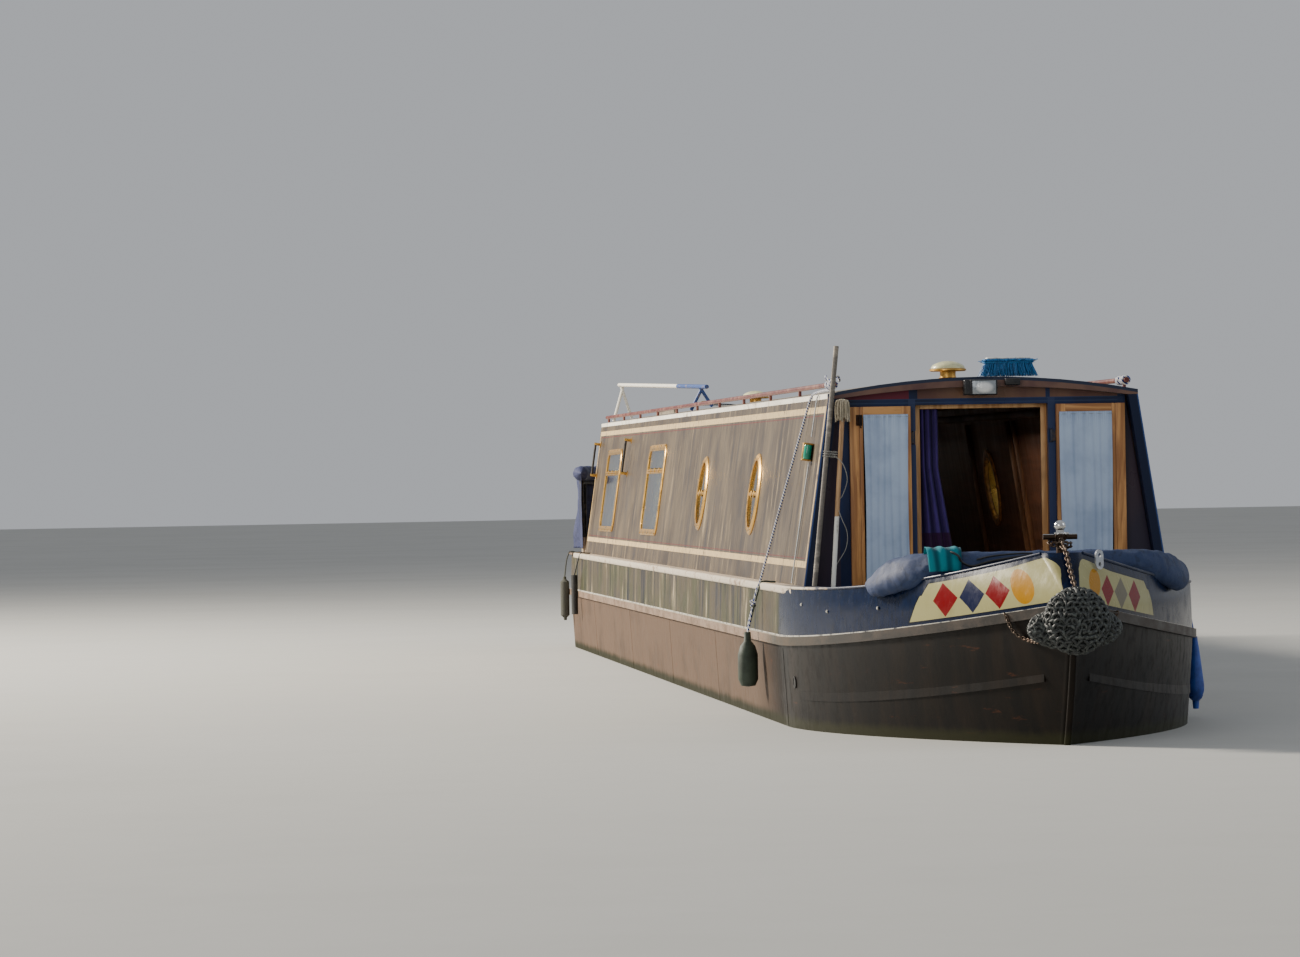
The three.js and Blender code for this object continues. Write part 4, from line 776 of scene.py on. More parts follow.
def coat(finish, *nodes):
    """Gives CAD nodes a finish."""
    for node in nodes:
        slots = bpy.data.objects[node].data.materials
        for i in range(len(slots)):
            slots[i] = finish.material
        if not slots:
            slots.append(finish.material)


def smoothed(finish, *nodes, degrees=35, body="root"):
    """Dresses copies of CAD nodes, with their corners merged so that round faces shade smoothly."""
    for node in nodes:
        pick(bpy.data.objects[node])
        bpy.ops.object.duplicate()
        copy = bpy.context.active_object
        bpy.ops.mesh.customdata_custom_splitnormals_clear()
        smooth(tidied(copy, outwards=False), degrees)
        finished(copy, node + ".fair", finish, body, (node,), degrees=0)


def block(low, high, bevel=0.002, segments=2):
    low, high = Vector(low), Vector(high)
    deselect()
    bpy.ops.mesh.primitive_cube_add(size=1, location=(low + high) / 2, scale=high - low)
    obj = settled()
    if bevel:
        modify(obj, "BEVEL", width=bevel, segments=segments)
    return obj


def slab(x0, x1, y0, y1, z0, z1, bevel=0.002):
    """A block between two values on each axis, in any order."""
    return block((min(x0, x1), min(y0, y1), min(z0, z1)), (max(x0, x1), max(y0, y1), max(z0, z1)), bevel)


def framed(x_way, y_way, z_way, place):
    """The move to a place, with the three axes turned to the given ways."""
    matrix = Matrix((x_way, y_way, z_way)).transposed().to_4x4()
    matrix.translation = place
    return matrix


def aimed(start, end):
    """A turn and a move that take the Z axis to the line from start to end."""
    start, end = Vector(start), Vector(end)
    return Matrix.Translation(start) @ (end - start).to_track_quat("Z", "Y").to_matrix().to_4x4()


def rod(start, end, radius, sides=16, bevel=0.0):
    length = (Vector(end) - Vector(start)).length
    deselect()
    bpy.ops.mesh.primitive_cylinder_add(
        vertices=sides, radius=radius, depth=length, location=(0, 0, length / 2))
    obj = settled()
    if bevel:
        modify(obj, "BEVEL", width=bevel, segments=2)
    obj.data.transform(aimed(start, end))
    return obj


def turned(profile, place=Matrix.Identity(4), sides=24):
    """A round piece from (radius, height) pairs, foot to head, that start and end on the axis."""
    rings = len(profile) - 1
    deselect()
    bpy.ops.mesh.primitive_uv_sphere_add(segments=sides, ring_count=rings, radius=1)
    obj = bpy.context.active_object

    def on_profile(point):
        index = round((1 - math.acos(max(-1, min(1, point.z))) / math.pi) * rings)
        radius, height = profile[index]
        if not 0 < index < rings:
            return Vector((0, 0, height))
        return Vector((0, 0, height)) + Vector((point.x, point.y, 0)).normalized() * radius

    shaped(obj, on_profile).data.transform(place)
    return obj


def sheet(columns, rows, place, thick=0.0, offset=0.0, close=1e-6, shade=None):
    """A surface: place(u, v) for u and v from 0 to 1. Shade(u, v) marks its folds for its cloth."""
    deselect()
    bpy.ops.mesh.primitive_grid_add(x_subdivisions=columns, y_subdivisions=rows, size=2)
    obj = bpy.context.active_object
    if shade:
        marks = obj.data.color_attributes.new("dark_tone_and_fold_shade", "FLOAT_COLOR", "POINT")
        for vertex, mark in zip(obj.data.vertices, marks.data):
            dark = min(max(shade((vertex.co.x + 1) / 2, (vertex.co.y + 1) / 2), 0), 1)
            mark.color = (dark, dark, dark, 1)
    shaped(obj, lambda p: place((p.x + 1) / 2, (p.y + 1) / 2))
    if close:
        tidied(obj, close)
    if thick:
        modify(obj, "SOLIDIFY", thickness=thick, offset=offset)
    return obj


def smooth_path(points, steps):
    """Points along a smooth curve through the given ones."""
    points = [Vector(p) for p in points]
    padded = [2 * points[0] - points[1], *points, 2 * points[-1] - points[-2]]
    out = []
    for i in range(len(points) - 1):
        a, b, c, d = padded[i:i + 4]
        for k in range(steps):
            t = k / steps
            bend = (2 * a - 5 * b + 4 * c - d) * t ** 2 + (3 * b - a - 3 * c + d) * t ** 3
            out.append(0.5 * (2 * b + (c - a) * t + bend))
    out.append(points[-1])
    return out


def rope(points, radius, steps=6, sides=3):
    """A round line through points."""
    route = smooth_path(points, steps) if steps else [Vector(p) for p in points]
    deselect()
    bpy.ops.curve.primitive_bezier_curve_add()
    obj = bpy.context.active_object
    curve = obj.data
    curve.splines.clear()
    spline = curve.splines.new("POLY")
    spline.points.add(len(route) - 1)
    for point, where in zip(spline.points, route):
        point.co = (*where, 1)
    curve.dimensions = "3D"
    curve.bevel_depth = radius
    curve.bevel_resolution = sides
    curve.use_fill_caps = True
    pick(obj)
    bpy.ops.object.convert(target="MESH")
    return tidied(bpy.context.active_object)


def laid(stations, radius, steps=6):
    """A rope through points given as station, Y and Z."""
    return rope([at(*point) for point in stations], radius, steps)


def ring(outline, section):
    """A bar round a closed outline. Outline holds points and outward directions, section holds out and up."""
    around, sides = len(outline), len(section)

    def place(u, v):
        point, way = outline[round(u * around) % around]
        out, up = section[round(v * sides) % sides]
        return Vector((point[0] + way[0] * out, point[1] + way[1] * out, up))

    return sheet(around, sides, place)


def bar(section, place, steps=60):
    """A capped bar: place gives the point for u from 0 to 1 along it and the section's out and up."""
    count = len(section)
    tube = sheet(steps, count, lambda u, v: place(u, *section[round(v * count) % count]))
    return tidied(tube, capped=True)


def round_outline(radius, count=48):
    turns = [2 * math.pi * i / count for i in range(count)]
    return [((radius * math.cos(t), radius * math.sin(t)), (math.cos(t), math.sin(t))) for t in turns]


def box_outline(width, height, radius, steps=6):
    """A rectangle with round corners."""
    points = []
    for corner, (x, y) in enumerate(((1, 1), (-1, 1), (-1, -1), (1, -1))):
        for i in range(steps + 1):
            turn = math.pi / 2 * (corner + i / steps)
            way = (math.cos(turn), math.sin(turn))
            centre = (x * (width / 2 - radius), y * (height / 2 - radius))
            points.append(((centre[0] + way[0] * radius, centre[1] + way[1] * radius), way))
    return points


def pane(outline, half):
    """A flat plate with an outline, as thick as twice half."""
    deselect()
    bpy.ops.mesh.primitive_circle_add(vertices=len(outline), radius=1, fill_type="NGON")
    obj = bpy.context.active_object
    for vertex, (point, _) in zip(obj.data.vertices, outline):
        vertex.co = (*point, -half)
    modify(obj, "SOLIDIFY", thickness=2 * half, offset=1)
    return tidied(obj)


def on_cabin(s, z, hand):
    """The frame of a fitting on the cabin's side: forward, up and outwards."""
    foot = at(s, hand * cabin_half(s, z), z)
    fore = (at(s - 1, hand * cabin_half(s - 1, z), z) - foot).normalized()
    up = (at(s, hand * cabin_half(s, z + 0.1), z + 0.1) - foot).normalized()
    return framed(fore, up, up.cross(fore).normalized() * hand, foot)


def folds(point, size, seed):
    """A crease's height at a point, from -1 to 1."""
    return noise.noise(Vector(point) * size + Vector((seed, seed * 0.7, -seed)))


def tucks(count):
    """The shade of a cloth gathered into so many folds."""
    return lambda u, v: 0.5 - 0.5 * math.sin(2 * math.pi * count * u)


def stuffed_roll(line, radii, around, lift):
    """A roll of canvas along a line. Lift gives how far a point stands out, from the point and its turn."""
    points = smooth_path(line, 8)
    sizes = [v.x for v in smooth_path([(radius, 0, 0) for radius in radii], 8)]
    count = len(points) - 1

    def roll(u, v):
        i = round(u * count)
        ahead = (points[min(i + 1, count)] - points[max(i - 1, 0)]).normalized()
        outwards = Vector((ahead.y, -ahead.x, 0)).normalized()
        turn = -2 * math.pi * v
        radius = sizes[i] * (1 if 0 < i < count else 0.02)
        way = outwards * math.cos(turn) + Vector((0, 0, math.sin(turn)))
        base = points[i] + way * radius
        return base + way * lift(base, turn) * min(1.0, radius / 0.03)

    return sheet(count, around, roll, close=2e-4)


# Operators


def props():
    return bpy.context.scene.narrowboat


def setting(name, description, default, low, high):
    return bpy.props.FloatProperty(
        name=name, description=description, default=default, min=low, max=high, unit="LENGTH", precision=4)


def tint(name, description, default):
    return bpy.props.FloatVectorProperty(
        name=name, description=description, subtype="COLOR", size=4, min=0, max=1, default=default)


class NarrowboatProperties(bpy.types.PropertyGroup):
    canvas: tint("Canvas", "Cover of the well and hood of the stern", paint(34, 50, 86))
    curtain: tint("Door curtains", "Cloth on the front doors", paint(188, 206, 230))
    rails: tint("Rails", "Paint of the rails along the roof", paint(84, 15, 9))
    knot: setting(
        "Fender rope", "Thickness of the rope that the bow fender is knotted from", 0.0138, 0.004, 0.02)
    lashing: setting("Rail rope", "Thickness of the rope wound on the rails", 0.011, 0.004, 0.02)
    bristle: setting("Bristles", "Length of the deck brush's bristles", 0.062, 0.03, 0.08)


class NARROWBOAT_OT_stage(bpy.types.Operator):
    """Camera, floor at the waterline and soft light"""
    bl_idname = "narrowboat.stage"
    bl_label = "Stage"

    # Place, target, size, power and colour: a key from behind and to starboard, where the sun stood, soft
    # light from ahead and from port, and two lamps in the cabin.
    LAMPS = (
        ((-10, -24, 15), (2, 0, 1), 6, 25000, (1.0, 0.92, 0.80)),
        ((32, -16, 9), (6, 0, 0.8), 12, 1500, (1.0, 0.98, 0.95)),
        ((12, 26, 14), (2, 0, 1), 14, 1300, (0.82, 0.90, 1.0)),
        ((3.4, 0, 1.5), (3.4, 0, 0), 1.2, 12, (1.0, 0.9, 0.78)),
        ((-3.5, 0, 1.5), (-3.5, 0, 0), 1.2, 12, (1.0, 0.9, 0.78)),
    )

    def execute(self, context):
        self.camera(context)
        self.floor(context)
        world = bpy.data.worlds.new("studio")
        world.use_nodes = True
        sky = world.node_tree.nodes["Background"].inputs
        sky["Color"].default_value = (0.88, 0.91, 0.96, 1)
        sky["Strength"].default_value = 0.5
        context.scene.world = world
        for place, target, size, power, colour in self.LAMPS:
            bpy.ops.object.light_add(type="AREA", location=place)
            lamp = context.active_object
            lamp.data.size = size
            lamp.data.energy = power
            lamp.data.color = colour
            lamp.rotation_euler = (Vector(target) - Vector(place)).to_track_quat("-Z", "Y").to_euler()
        return {"FINISHED"}

    def camera(self, context):
        """The photo's camera, as solved from points of the boat whose places are known."""
        yaw, pitch, roll = 0.093, 0.0029, -0.0176
        ahead = Vector((-math.cos(yaw) * math.cos(pitch), math.sin(yaw) * math.cos(pitch), math.sin(pitch)))
        right = ahead.cross(Vector((0, 0, 1))).normalized()
        up = right.cross(ahead)
        across = right * math.cos(roll) + up * math.sin(roll)
        above = up * math.cos(roll) - right * math.sin(roll)
        deselect()
        bpy.ops.object.camera_add()
        camera = context.active_object
        camera.matrix_world = framed(across, above, -ahead, (31.271, -4.042, 1.198))
        camera.data.sensor_width = 36
        camera.data.lens = 138.46
        camera.data.clip_end = 500
        context.scene.camera = camera

    def floor(self, context):
        """The floor is open inside the hull, where the cabin's own floor lies lower."""
        third = 0.333
        edges = {-1: (-210, -210), -third: (STEM_X - 14.3, -0.93), third: (STEM_X - 2.7, 0.93), 1: (210, 210)}

        def near(value):
            return edges[min(edges, key=lambda line: abs(line - value))]

        deselect()
        bpy.ops.mesh.primitive_grid_add(x_subdivisions=3, y_subdivisions=3, size=2)
        floor = shaped(context.active_object, lambda p: Vector((near(p.x)[0], near(p.y)[1], 0)))
        floor.name = "floor"
        bpy.ops.object.mode_set(mode="EDIT")
        bpy.ops.mesh.select_mode(type="FACE")
        bpy.ops.mesh.select_all(action="DESELECT")
        bpy.ops.object.mode_set(mode="OBJECT")
        min(floor.data.polygons, key=lambda face: face.center.length).select = True
        bpy.ops.object.mode_set(mode="EDIT")
        bpy.ops.mesh.delete(type="FACE")
        bpy.ops.mesh.select_mode(type="VERT")
        bpy.ops.object.mode_set(mode="OBJECT")
        pale = plain("floor", paint(176, 176, 172), paint(170, 170, 166), 0.85, 0.4)
        floor.data.materials.append(pale.material)


class NARROWBOAT_OT_hull(bpy.types.Operator):
    """Paint of the hull, strakes and decks, and the fittings welded to them"""
    bl_idname = "narrowboat.hull"
    bl_label = "Hull"

    def execute(self, context):
        shell = hull_paint()
        self.bow(shell)
        smoothed(shell, "stern_side_port", "stern_side_stbd", "counter", degrees=28)
        coat(shell, "hull_side_port", "hull_side_stbd", "sternpost")
        coat(steel("baseplate_blacking", paint(28, 27, 25), paint(70, 56, 40), 0.5, 0.7), "baseplate")
        smoothed(strake_paint(), "rubbing_strake_port", "rubbing_strake_stbd", degrees=28)
        decks = ("foredeck", "locker_lid", "side_deck_port", "side_deck_stbd", "well_floor", "stern_deck")
        coat(deck_paint(), *decks)
        self.bars(shell)
        self.fittings(shell)
        return {"FINISHED"}

    def bow(self, shell):
        """The fore end's plating, in one fair sheet, with the low rubbing bar on each side."""
        rows = [lambda s, z=z: z for z in (-0.54, -0.39, -0.25, -0.12, 0.0, 0.09)]
        rows += [lambda s, k=k: blend(low_strake(s), strake(s), k) for k in (0, 0.33, 0.67)]
        rows += [lambda s, k=k: blend(strake(s), gunwale(s), k / 8) for k in range(9)]
        columns, nose_columns = 44, 6

        def plating(u, v):
            step = round((2 * u - 1) * (columns + nose_columns))
            count = abs(step)
            along = (max(count - nose_columns, 0) / columns) ** 1.5
            turn = 1.05 * count / nose_columns if count < nose_columns else math.pi / 2
            point = bow_point(rows[round(v * (len(rows) - 1))], along, turn)
            return Vector((point.x, point.y * (1 if step >= 0 else -1), point.z))

        skin = sheet(2 * (columns + nose_columns), len(rows) - 1, plating)
        if sum(face.normal.x * face.area for face in skin.data.polygons) < 0:
            skin.data.flip_normals()
        modify(skin, "SOLIDIFY", thickness=0.010, offset=-1)
        finished(skin, "bow_plating", shell, replaces=("bow_shell",))

        def low_bar(u, out, up):
            along = 0.042 + 0.80 * u
            here, ahead = (bow_point(low_strake, t) for t in (along, along + 0.004))
            way = (ahead - here).normalized()
            return here + Vector((way.y, -way.x, 0)) * -out + Vector((0, 0, up))

        section = [(-0.003, -0.022), (0.013, -0.021), (0.020, -0.012),
                   (0.020, 0.012), (0.013, 0.021), (-0.003, 0.022)]
        finished(both(bar(section, low_bar)), "low_rubbing_bar", shell)

    def bars(self, shell):
        """A round bar on top of the bow, a flat guard from there to the counter, the stem bar and welds."""
        line = [bow_point(lambda s: gunwale(s) - 0.004, t / 40) for t in range(39)]

        def guard(u, out, up):
            s = blend(2.40, 16.205, u)
            return at(s, hull_half(s, gunwale(s)) + out * min(1, 0.1 + 12 * u), gunwale(s) + up)

        section = [(-0.002, 0.003), (0.008, 0.002), (0.014, -0.006),
                   (0.014, -0.028), (0.008, -0.036), (-0.002, -0.037)]
        gunwale_bar = both(joined(rope(line, 0.0075, 0), bar(section, guard)))
        finished(gunwale_bar, "gunwale_bar", edge_paint(), degrees=60)
        stem = [(rake(z) - 0.020, 0, z) for z in (0.53, 0.45, 0.36, 0.26, 0.15, 0.03, -0.12, -0.3, -0.50)]
        finished(laid(stem, 0.017, 4), "stem_bar", shell)
        welds = [laid([(s, side(z) - 0.0015, z) for z in (-0.5, -0.2, 0.1, 0.40)], 0.0035, 5)
                 for s in (BOW, 5.9, 8.6, 11.4, 14.37)]
        finished(both(joined(*welds)), "weld_beads", shell)

    def fittings(self, shell):
        """Bolt heads in the starboard bow, the well's drains, and anodes on the bow and the swim."""
        head = [(0, -0.002), (0.008, -0.002), (0.008, 0.003), (0.004, 0.006), (0, 0.006)]
        out = Vector((-0.25, -1, 0)).normalized()
        spots = [at(s, -hull_half(s, z), z) for s, z in ((2.18, 0.628), (1.80, 0.60), (1.27, 0.625))]
        bolts = joined(*(turned(head, aimed(spot, spot + out), 8) for spot in spots))
        bolt_white = plain("bolt_white", paint(214, 212, 204), paint(150, 144, 130), 0.4)
        finished(bolts, "bow_bolts", bolt_white)
        drains = []
        for hand in (PORT, STBD):
            spot = at(2.36, hand * (hull_half(2.36, 0.235) + 0.001), 0.235)
            section = [(0.004, -0.004), (0.004, 0.004), (-0.004, 0.004), (-0.008, -0.004)]
            profile = [(0, -0.004), (0.022, -0.004), (0.022, 0.001), (0.010, 0.0012), (0, 0.0012)]
            rim = ring(round_outline(0.027, 24), section)
            disc = turned(profile, sides=20)
            drains.append(moved(joined(rim, disc), aimed(spot, spot + Vector((0.1, hand, -0.05)))))
        drain_black = plain("drain_black", paint(12, 12, 12), paint(30, 26, 22), 0.6)
        finished(joined(*drains), "well_drains", drain_black)
        anodes = []
        for s in (3.6, 13.9):
            y = side(-0.25)
            anodes.append(block(at(s + 0.15, y, -0.29), at(s - 0.15, y + 0.028, -0.21), 0.008))
            anodes.append(block(at(s + 0.20, y, -0.258), at(s - 0.20, y + 0.006, -0.242)))
        zinc = steel("anode", paint(142, 140, 132), paint(186, 184, 176), 0.2, 0.7, 0.6)
        finished(both(joined(*anodes)), "anodes", zinc)


# Station, height and hand of each light in the cabin's sides.
LIGHTS = {
    "porthole_fore_port": (3.9, 1.175, PORT), "porthole_mid_port": (7.22, 1.2, PORT),
    "porthole_fore_stbd": (5.18, 1.18, STBD), "porthole_mid_stbd": (8.0, 1.19, STBD),
    "window_mid_port": (11.25, 1.218, PORT), "window_aft_port": (14.64, 1.222, PORT),
    "window_mid_stbd": (11.25, 1.218, STBD), "window_aft_stbd": (14.64, 1.222, STBD),
}
WINDOW = (1.18, 0.62)  # a window's width and height
PORTHOLE = 0.230  # a porthole's radius
LINING = WALL + 0.012  # the wall with its panelling


class NARROWBOAT_OT_cabin(bpy.types.Operator):
    """Cabin sides, roof, ends and what shows inside"""
    bl_idname = "narrowboat.cabin"
    bl_label = "Cabin"

    def execute(self, context):
        coat(cabin_wall(), "cabin_side_port", "cabin_side_stbd")
        smoothed(roof_paint(), "cabin_roof", degrees=25)
        coat(front_paint(), "front_bulkhead", "rear_bulkhead")
        hatch_paint = plain("hatch_paint", NAVY, DEEP_NAVY, 0.3, 4, 0.3)
        smoothed(hatch_paint, "slide_hatch", degrees=25, body="slide_hatch")
        coat(wood("floor_boards", paint(120, 82, 50), paint(70, 46, 28), (0.08, 1, 1)), "cabin_floor")
        coat(plain("engine_green", paint(40, 62, 46), paint(24, 30, 26), 0.5, 20), "engine")
        brass = metal("brass_trim", paint(204, 160, 82), 0.26)
        self.hatch(brass)
        # Wooden stops round the front doorway, on the side away from the doors.
        foot, head, reveal, jamb, fore = 0.442, 1.625, 0.311, 0.362, 6.0875
        stops = []
        for hand in (PORT, STBD):
            stops.append(slab(6.0715, fore, hand * reveal, hand * jamb, foot, head, 0.003))
            stops.append(slab(fore, 6.0917, hand * 0.342, hand * jamb, foot, head, 0.001))
        stops.append(slab(6.0715, fore, -reveal, reveal, 1.600, head, 0.003))
        oak = wood("oak_frame", paint(222, 174, 116), paint(176, 124, 70))
        finished(joined(*stops), "door_stops", oak)
        self.inside()
        # A worn metal sill under each doorway.
        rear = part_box("rear_door_port")[0].z
        sills = [slab(6.093, 6.1365, -0.338, 0.338, 0.436, 0.4415, 0.001),
                 slab(-7.527, -7.484, -0.331, 0.331, rear - 0.0105, rear - 0.0055, 0.001)]
        finished(joined(*sills), "door_sills", brass)
        return {"FINISHED"}

    def hatch(self, brass):
        """Brass strips on the hatch's edges and a handle at its fore end."""
        low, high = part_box("slide_hatch")
        x = high.x - 0.10
        pieces = [rope([(x, -0.07, high.z - 0.004), (x, -0.06, high.z + 0.012),
                        (x, 0.06, high.z + 0.012), (x, 0.07, high.z - 0.004)], 0.006, 4)]
        for hand in (PORT, STBD):
            y = hand * 0.371
            pieces.append(slab(low.x - 0.001, high.x + 0.001, y - 0.006, y + 0.006,
                               low.z + 0.001, low.z + 0.011))
        finished(joined(*pieces), "hatch_brass", brass, "slide_hatch")

    def inside(self):
        """Cornices, posts, and the liners of the windows."""
        dark = wood("inner_trim", paint(92, 60, 42), paint(52, 34, 24), (0.08, 1, 1))
        section = [(0.010, 0.0), (-0.006, 0.004), (-0.010, 0.022), (-0.006, 0.040), (0.010, 0.044)]
        cornices = []
        for hand in (PORT, STBD):
            for fore, aft in ((2.62, 9.0), (9.0, 16.1)):
                def strip(u, out, up):
                    s = blend(fore, aft, u)
                    inner = blend(cabin_half(fore, 1.62), cabin_half(aft, 1.62), u) - LINING
                    return at(s, hand * (inner + out), eaves(s) - 0.083 + up)

                cornices.append(bar(section, strip, 1))
        finished(joined(*cornices), "cornices", dark)
        posts = []
        for s in (6.06, 6.26, 7.77):
            foot, head = at(s, cabin_half(s, 0.75) - LINING, 0.74), at(s, cabin_half(s, 1.58) - LINING, 1.58)
            post = block((-0.012, -0.014, 0), (0.012, 0.014, (head - foot).length), 0.003)
            posts.append(moved(post, aimed(foot, head)))
        post_wood = wood("post_wood", paint(132, 90, 58), paint(84, 56, 36))
        finished(joined(*posts), "wall_posts", post_wood)
        gold = wood("liner_wood", paint(196, 140, 72), paint(140, 92, 40), (1, 1, 1))
        round_section = [(0.0, -0.0510), (0.0, -0.060), (-0.010, -0.064), (-0.040, -0.062),
                         (-0.046, -0.056), (-0.046, -0.0400), (-0.040, -0.0400), (-0.038, -0.0510)]
        box_section = [(0.0, -0.0510), (0.0, -0.062), (-0.040, -0.062),
                       (-0.040, -0.0400), (-0.034, -0.0400), (-0.034, -0.0510)]
        liners = []
        for node, place in LIGHTS.items():
            if node.startswith("window"):
                liner = ring(box_outline(WINDOW[0] - 0.01, WINDOW[1] - 0.01, 0.08), box_section)
            else:
                liner = ring(round_outline(PORTHOLE + 0.002, 40), round_section)
            liners.append(moved(liner, on_cabin(*place)))
        finished(joined(*liners), "window_liners", gold)


# Each leaf's outer and inner faces along X, then its hinge edge, latch edge and pins along Y.
LEAVES = {
    "front_door_port": (6.142, 6.177, 0.378, 0.730, 0.3565),
    "front_door_stbd": (6.142, 6.177, -0.370, -0.682, -0.3525),
    "rear_door_port": (-7.523, -7.488, 0.328, 0.006, 0.333),
    "rear_door_stbd": (-7.523, -7.488, -0.328, -0.006, -0.333),
}
HINGE_STILE = 0.046
LATCH_STILE = 0.068
RAIL_FOOT = 0.092
PIN_OUT = 0.005  # from a leaf's outer face to its pins' line
# A hinge's pin and its two seams: from and to along it, radius and bevel.
HINGE_RODS = ((0.0008, 0.0692, 0.0068, 0.001), (0.022, 0.023, 0.0070, 0), (0.046, 0.047, 0.0070, 0))


def leaf(node, foot, head, woods, hinge_paint, clear):
    """A framed and glazed leaf, boarded below where it is a rear door."""
    outer, inner, hinge, latch, pin_y = LEAVES[node]
    hand = 1 if latch > hinge else -1
    boarded = node.startswith("rear")
    stile, lock = hinge + hand * HINGE_STILE, latch - hand * LATCH_STILE

    def piece(y0, y1, z0, z1, out=0.0, deep=1.0, bevel=0.002):
        return slab(blend(outer, inner, out), blend(outer, inner, deep), y0, y1, z0, z1, bevel)

    def rail(z0, z1):
        return piece(stile + hand * 0.0002, lock - hand * 0.0002, z0, z1)

    light_top, light_foot = head - HINGE_STILE, foot + RAIL_FOOT
    stiles = [piece(hinge, stile, foot, head), piece(lock, latch - hand * 0.051, foot, head),
              piece(latch - hand * 0.049, latch, foot, head),
              piece(latch - hand * 0.060, latch - hand * 0.040, foot + 0.01, head - 0.01, 0.1, 0.85, 0)]
    rails = [rail(light_top, head), rail(foot, light_foot)]
    glass_foot = light_foot
    if boarded:
        glass_foot = blend(foot, head, 0.45)
        rails.append(rail(glass_foot - 0.06, glass_foot))
        boards = 4
        width = abs(lock - stile) / boards
        for i in range(boards):
            y0 = stile + hand * (i * width + 0.0008)
            stiles.append(piece(y0, y0 + hand * (width - 0.0016), light_foot, glass_foot - 0.06, 0.25, 0.7))
    finished(joined(*stiles), node + ".stiles", woods[0], node, (node,))
    finished(joined(*rails), node + ".rails", woods[1], node, ())
    middle = blend(outer, inner, 0.2)
    plate = slab(middle - 0.002, middle + 0.002, stile - hand * 0.002, lock + hand * 0.002,
                 glass_foot - 0.002, light_top + 0.002, 0)
    finished(plate, node + ".glass", clear, node, degrees=0)
    # Hinges on their pins, and a bolt head by the latch.
    pin_x = outer - PIN_OUT
    fittings = []
    for z in (foot + 0.125, head - 0.195):
        for low, high, radius, bevel in HINGE_RODS:
            fittings.append(rod((pin_x, pin_y, z + low), (pin_x, pin_y, z + high), radius, 16, bevel))
        fittings.append(slab(pin_x + 0.002, outer + 0.002, pin_y, hinge + hand * 0.006,
                             z + 0.008, z + 0.062, 0))
    spot = Vector((outer, latch - hand * 0.025, blend(foot, head, 0.52)))
    bolt = [(0, 0), (0.009, 0), (0.005, 0.0015), (0.004, 0.002), (0, 0.0025)]
    fittings.append(turned(bolt, aimed(spot, spot - Vector((1, 0, 0))), 12))
    finished(joined(*fittings), node + ".hinges", hinge_paint, node, ())


class NARROWBOAT_OT_doors(bpy.types.Operator):
    """Glazed oak doors on painted hinges"""
    bl_idname = "narrowboat.doors"
    bl_label = "Doors"

    def execute(self, context):
        oak = (paint(206, 150, 88), paint(150, 98, 50))
        woods = (wood("oak_upright", *oak), wood("oak_level", *oak, (1, 0.08, 1)))
        hinge_paint = plain("hinge_paint", paint(26, 34, 56), paint(96, 76, 48), 0.4, 60)
        clear = glass("door_glass", paint(214, 222, 220))
        heights = {"front": (0.445, 1.615), "rear": (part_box("rear_door_port")[0].z, 1.635)}
        for node in LEAVES:
            foot, head = heights[node.split("_")[0]]
            leaf(node, foot, head, woods, hinge_paint, clear)
        # A hook and its plate on the starboard leaf.
        x, y = LEAVES["front_door_stbd"][1], -0.634
        hook = [slab(x - 0.0002, x + 0.003, -0.650, -0.618, 1.520, 1.575, 0.001),
                rope([(x + 0.004, y, 1.565), (x + 0.012, y, 1.556), (x + 0.014, y, 1.535),
                      (x + 0.012, y + 0.004, 1.515), (x + 0.006, y + 0.008, 1.510)], 0.0035, 4),
                rod((x, y, 1.562), (x + 0.009, y, 1.562), 0.006, 12)]
        iron = metal("black_iron", paint(44, 40, 38), 0.45, paint(96, 60, 40), 0.6)
        finished(joined(*hook), "door_hook", iron, "front_door_stbd")
        return {"FINISHED"}


def window_parts():
    """Brass frame with its hopper bar, and the pane, as they lie in the XY plane."""
    width, height = WINDOW
    section = [(0.015, 0.0003), (0.015, 0.006), (0.010, 0.011), (-0.006, 0.013), (-0.020, 0.012),
               (-0.026, 0.008), (-0.026, -0.036), (-0.020, -0.036), (-0.020, 0.0003)]
    screw = [(0, 0.010), (0.005, 0.010), (0.0045, 0.0140), (0.002, 0.0146), (0, 0.0147)]
    parts = [ring(box_outline(width - 0.03, height - 0.03, 0.09), section)]
    for y in (0.112, 0.128):
        parts.append(slab(0.040 - width / 2, width / 2 - 0.040, y, y + 0.014, 0.001, 0.011, 0.003))
    for x in (-0.30, 0.0, 0.30):
        parts.append(slab(x - 0.010, x + 0.010, 0.118, 0.150, 0.004, 0.016, 0.003))
    for x in (-0.52, -0.26, 0.0, 0.26, 0.52):
        for way in (-1, 1):
            parts.append(turned(screw, Matrix.Translation((x, way * (height / 2 - 0.012), 0)), 8))
    return joined(*parts), pane(box_outline(width - 0.084, height - 0.084, 0.064), 0.003)


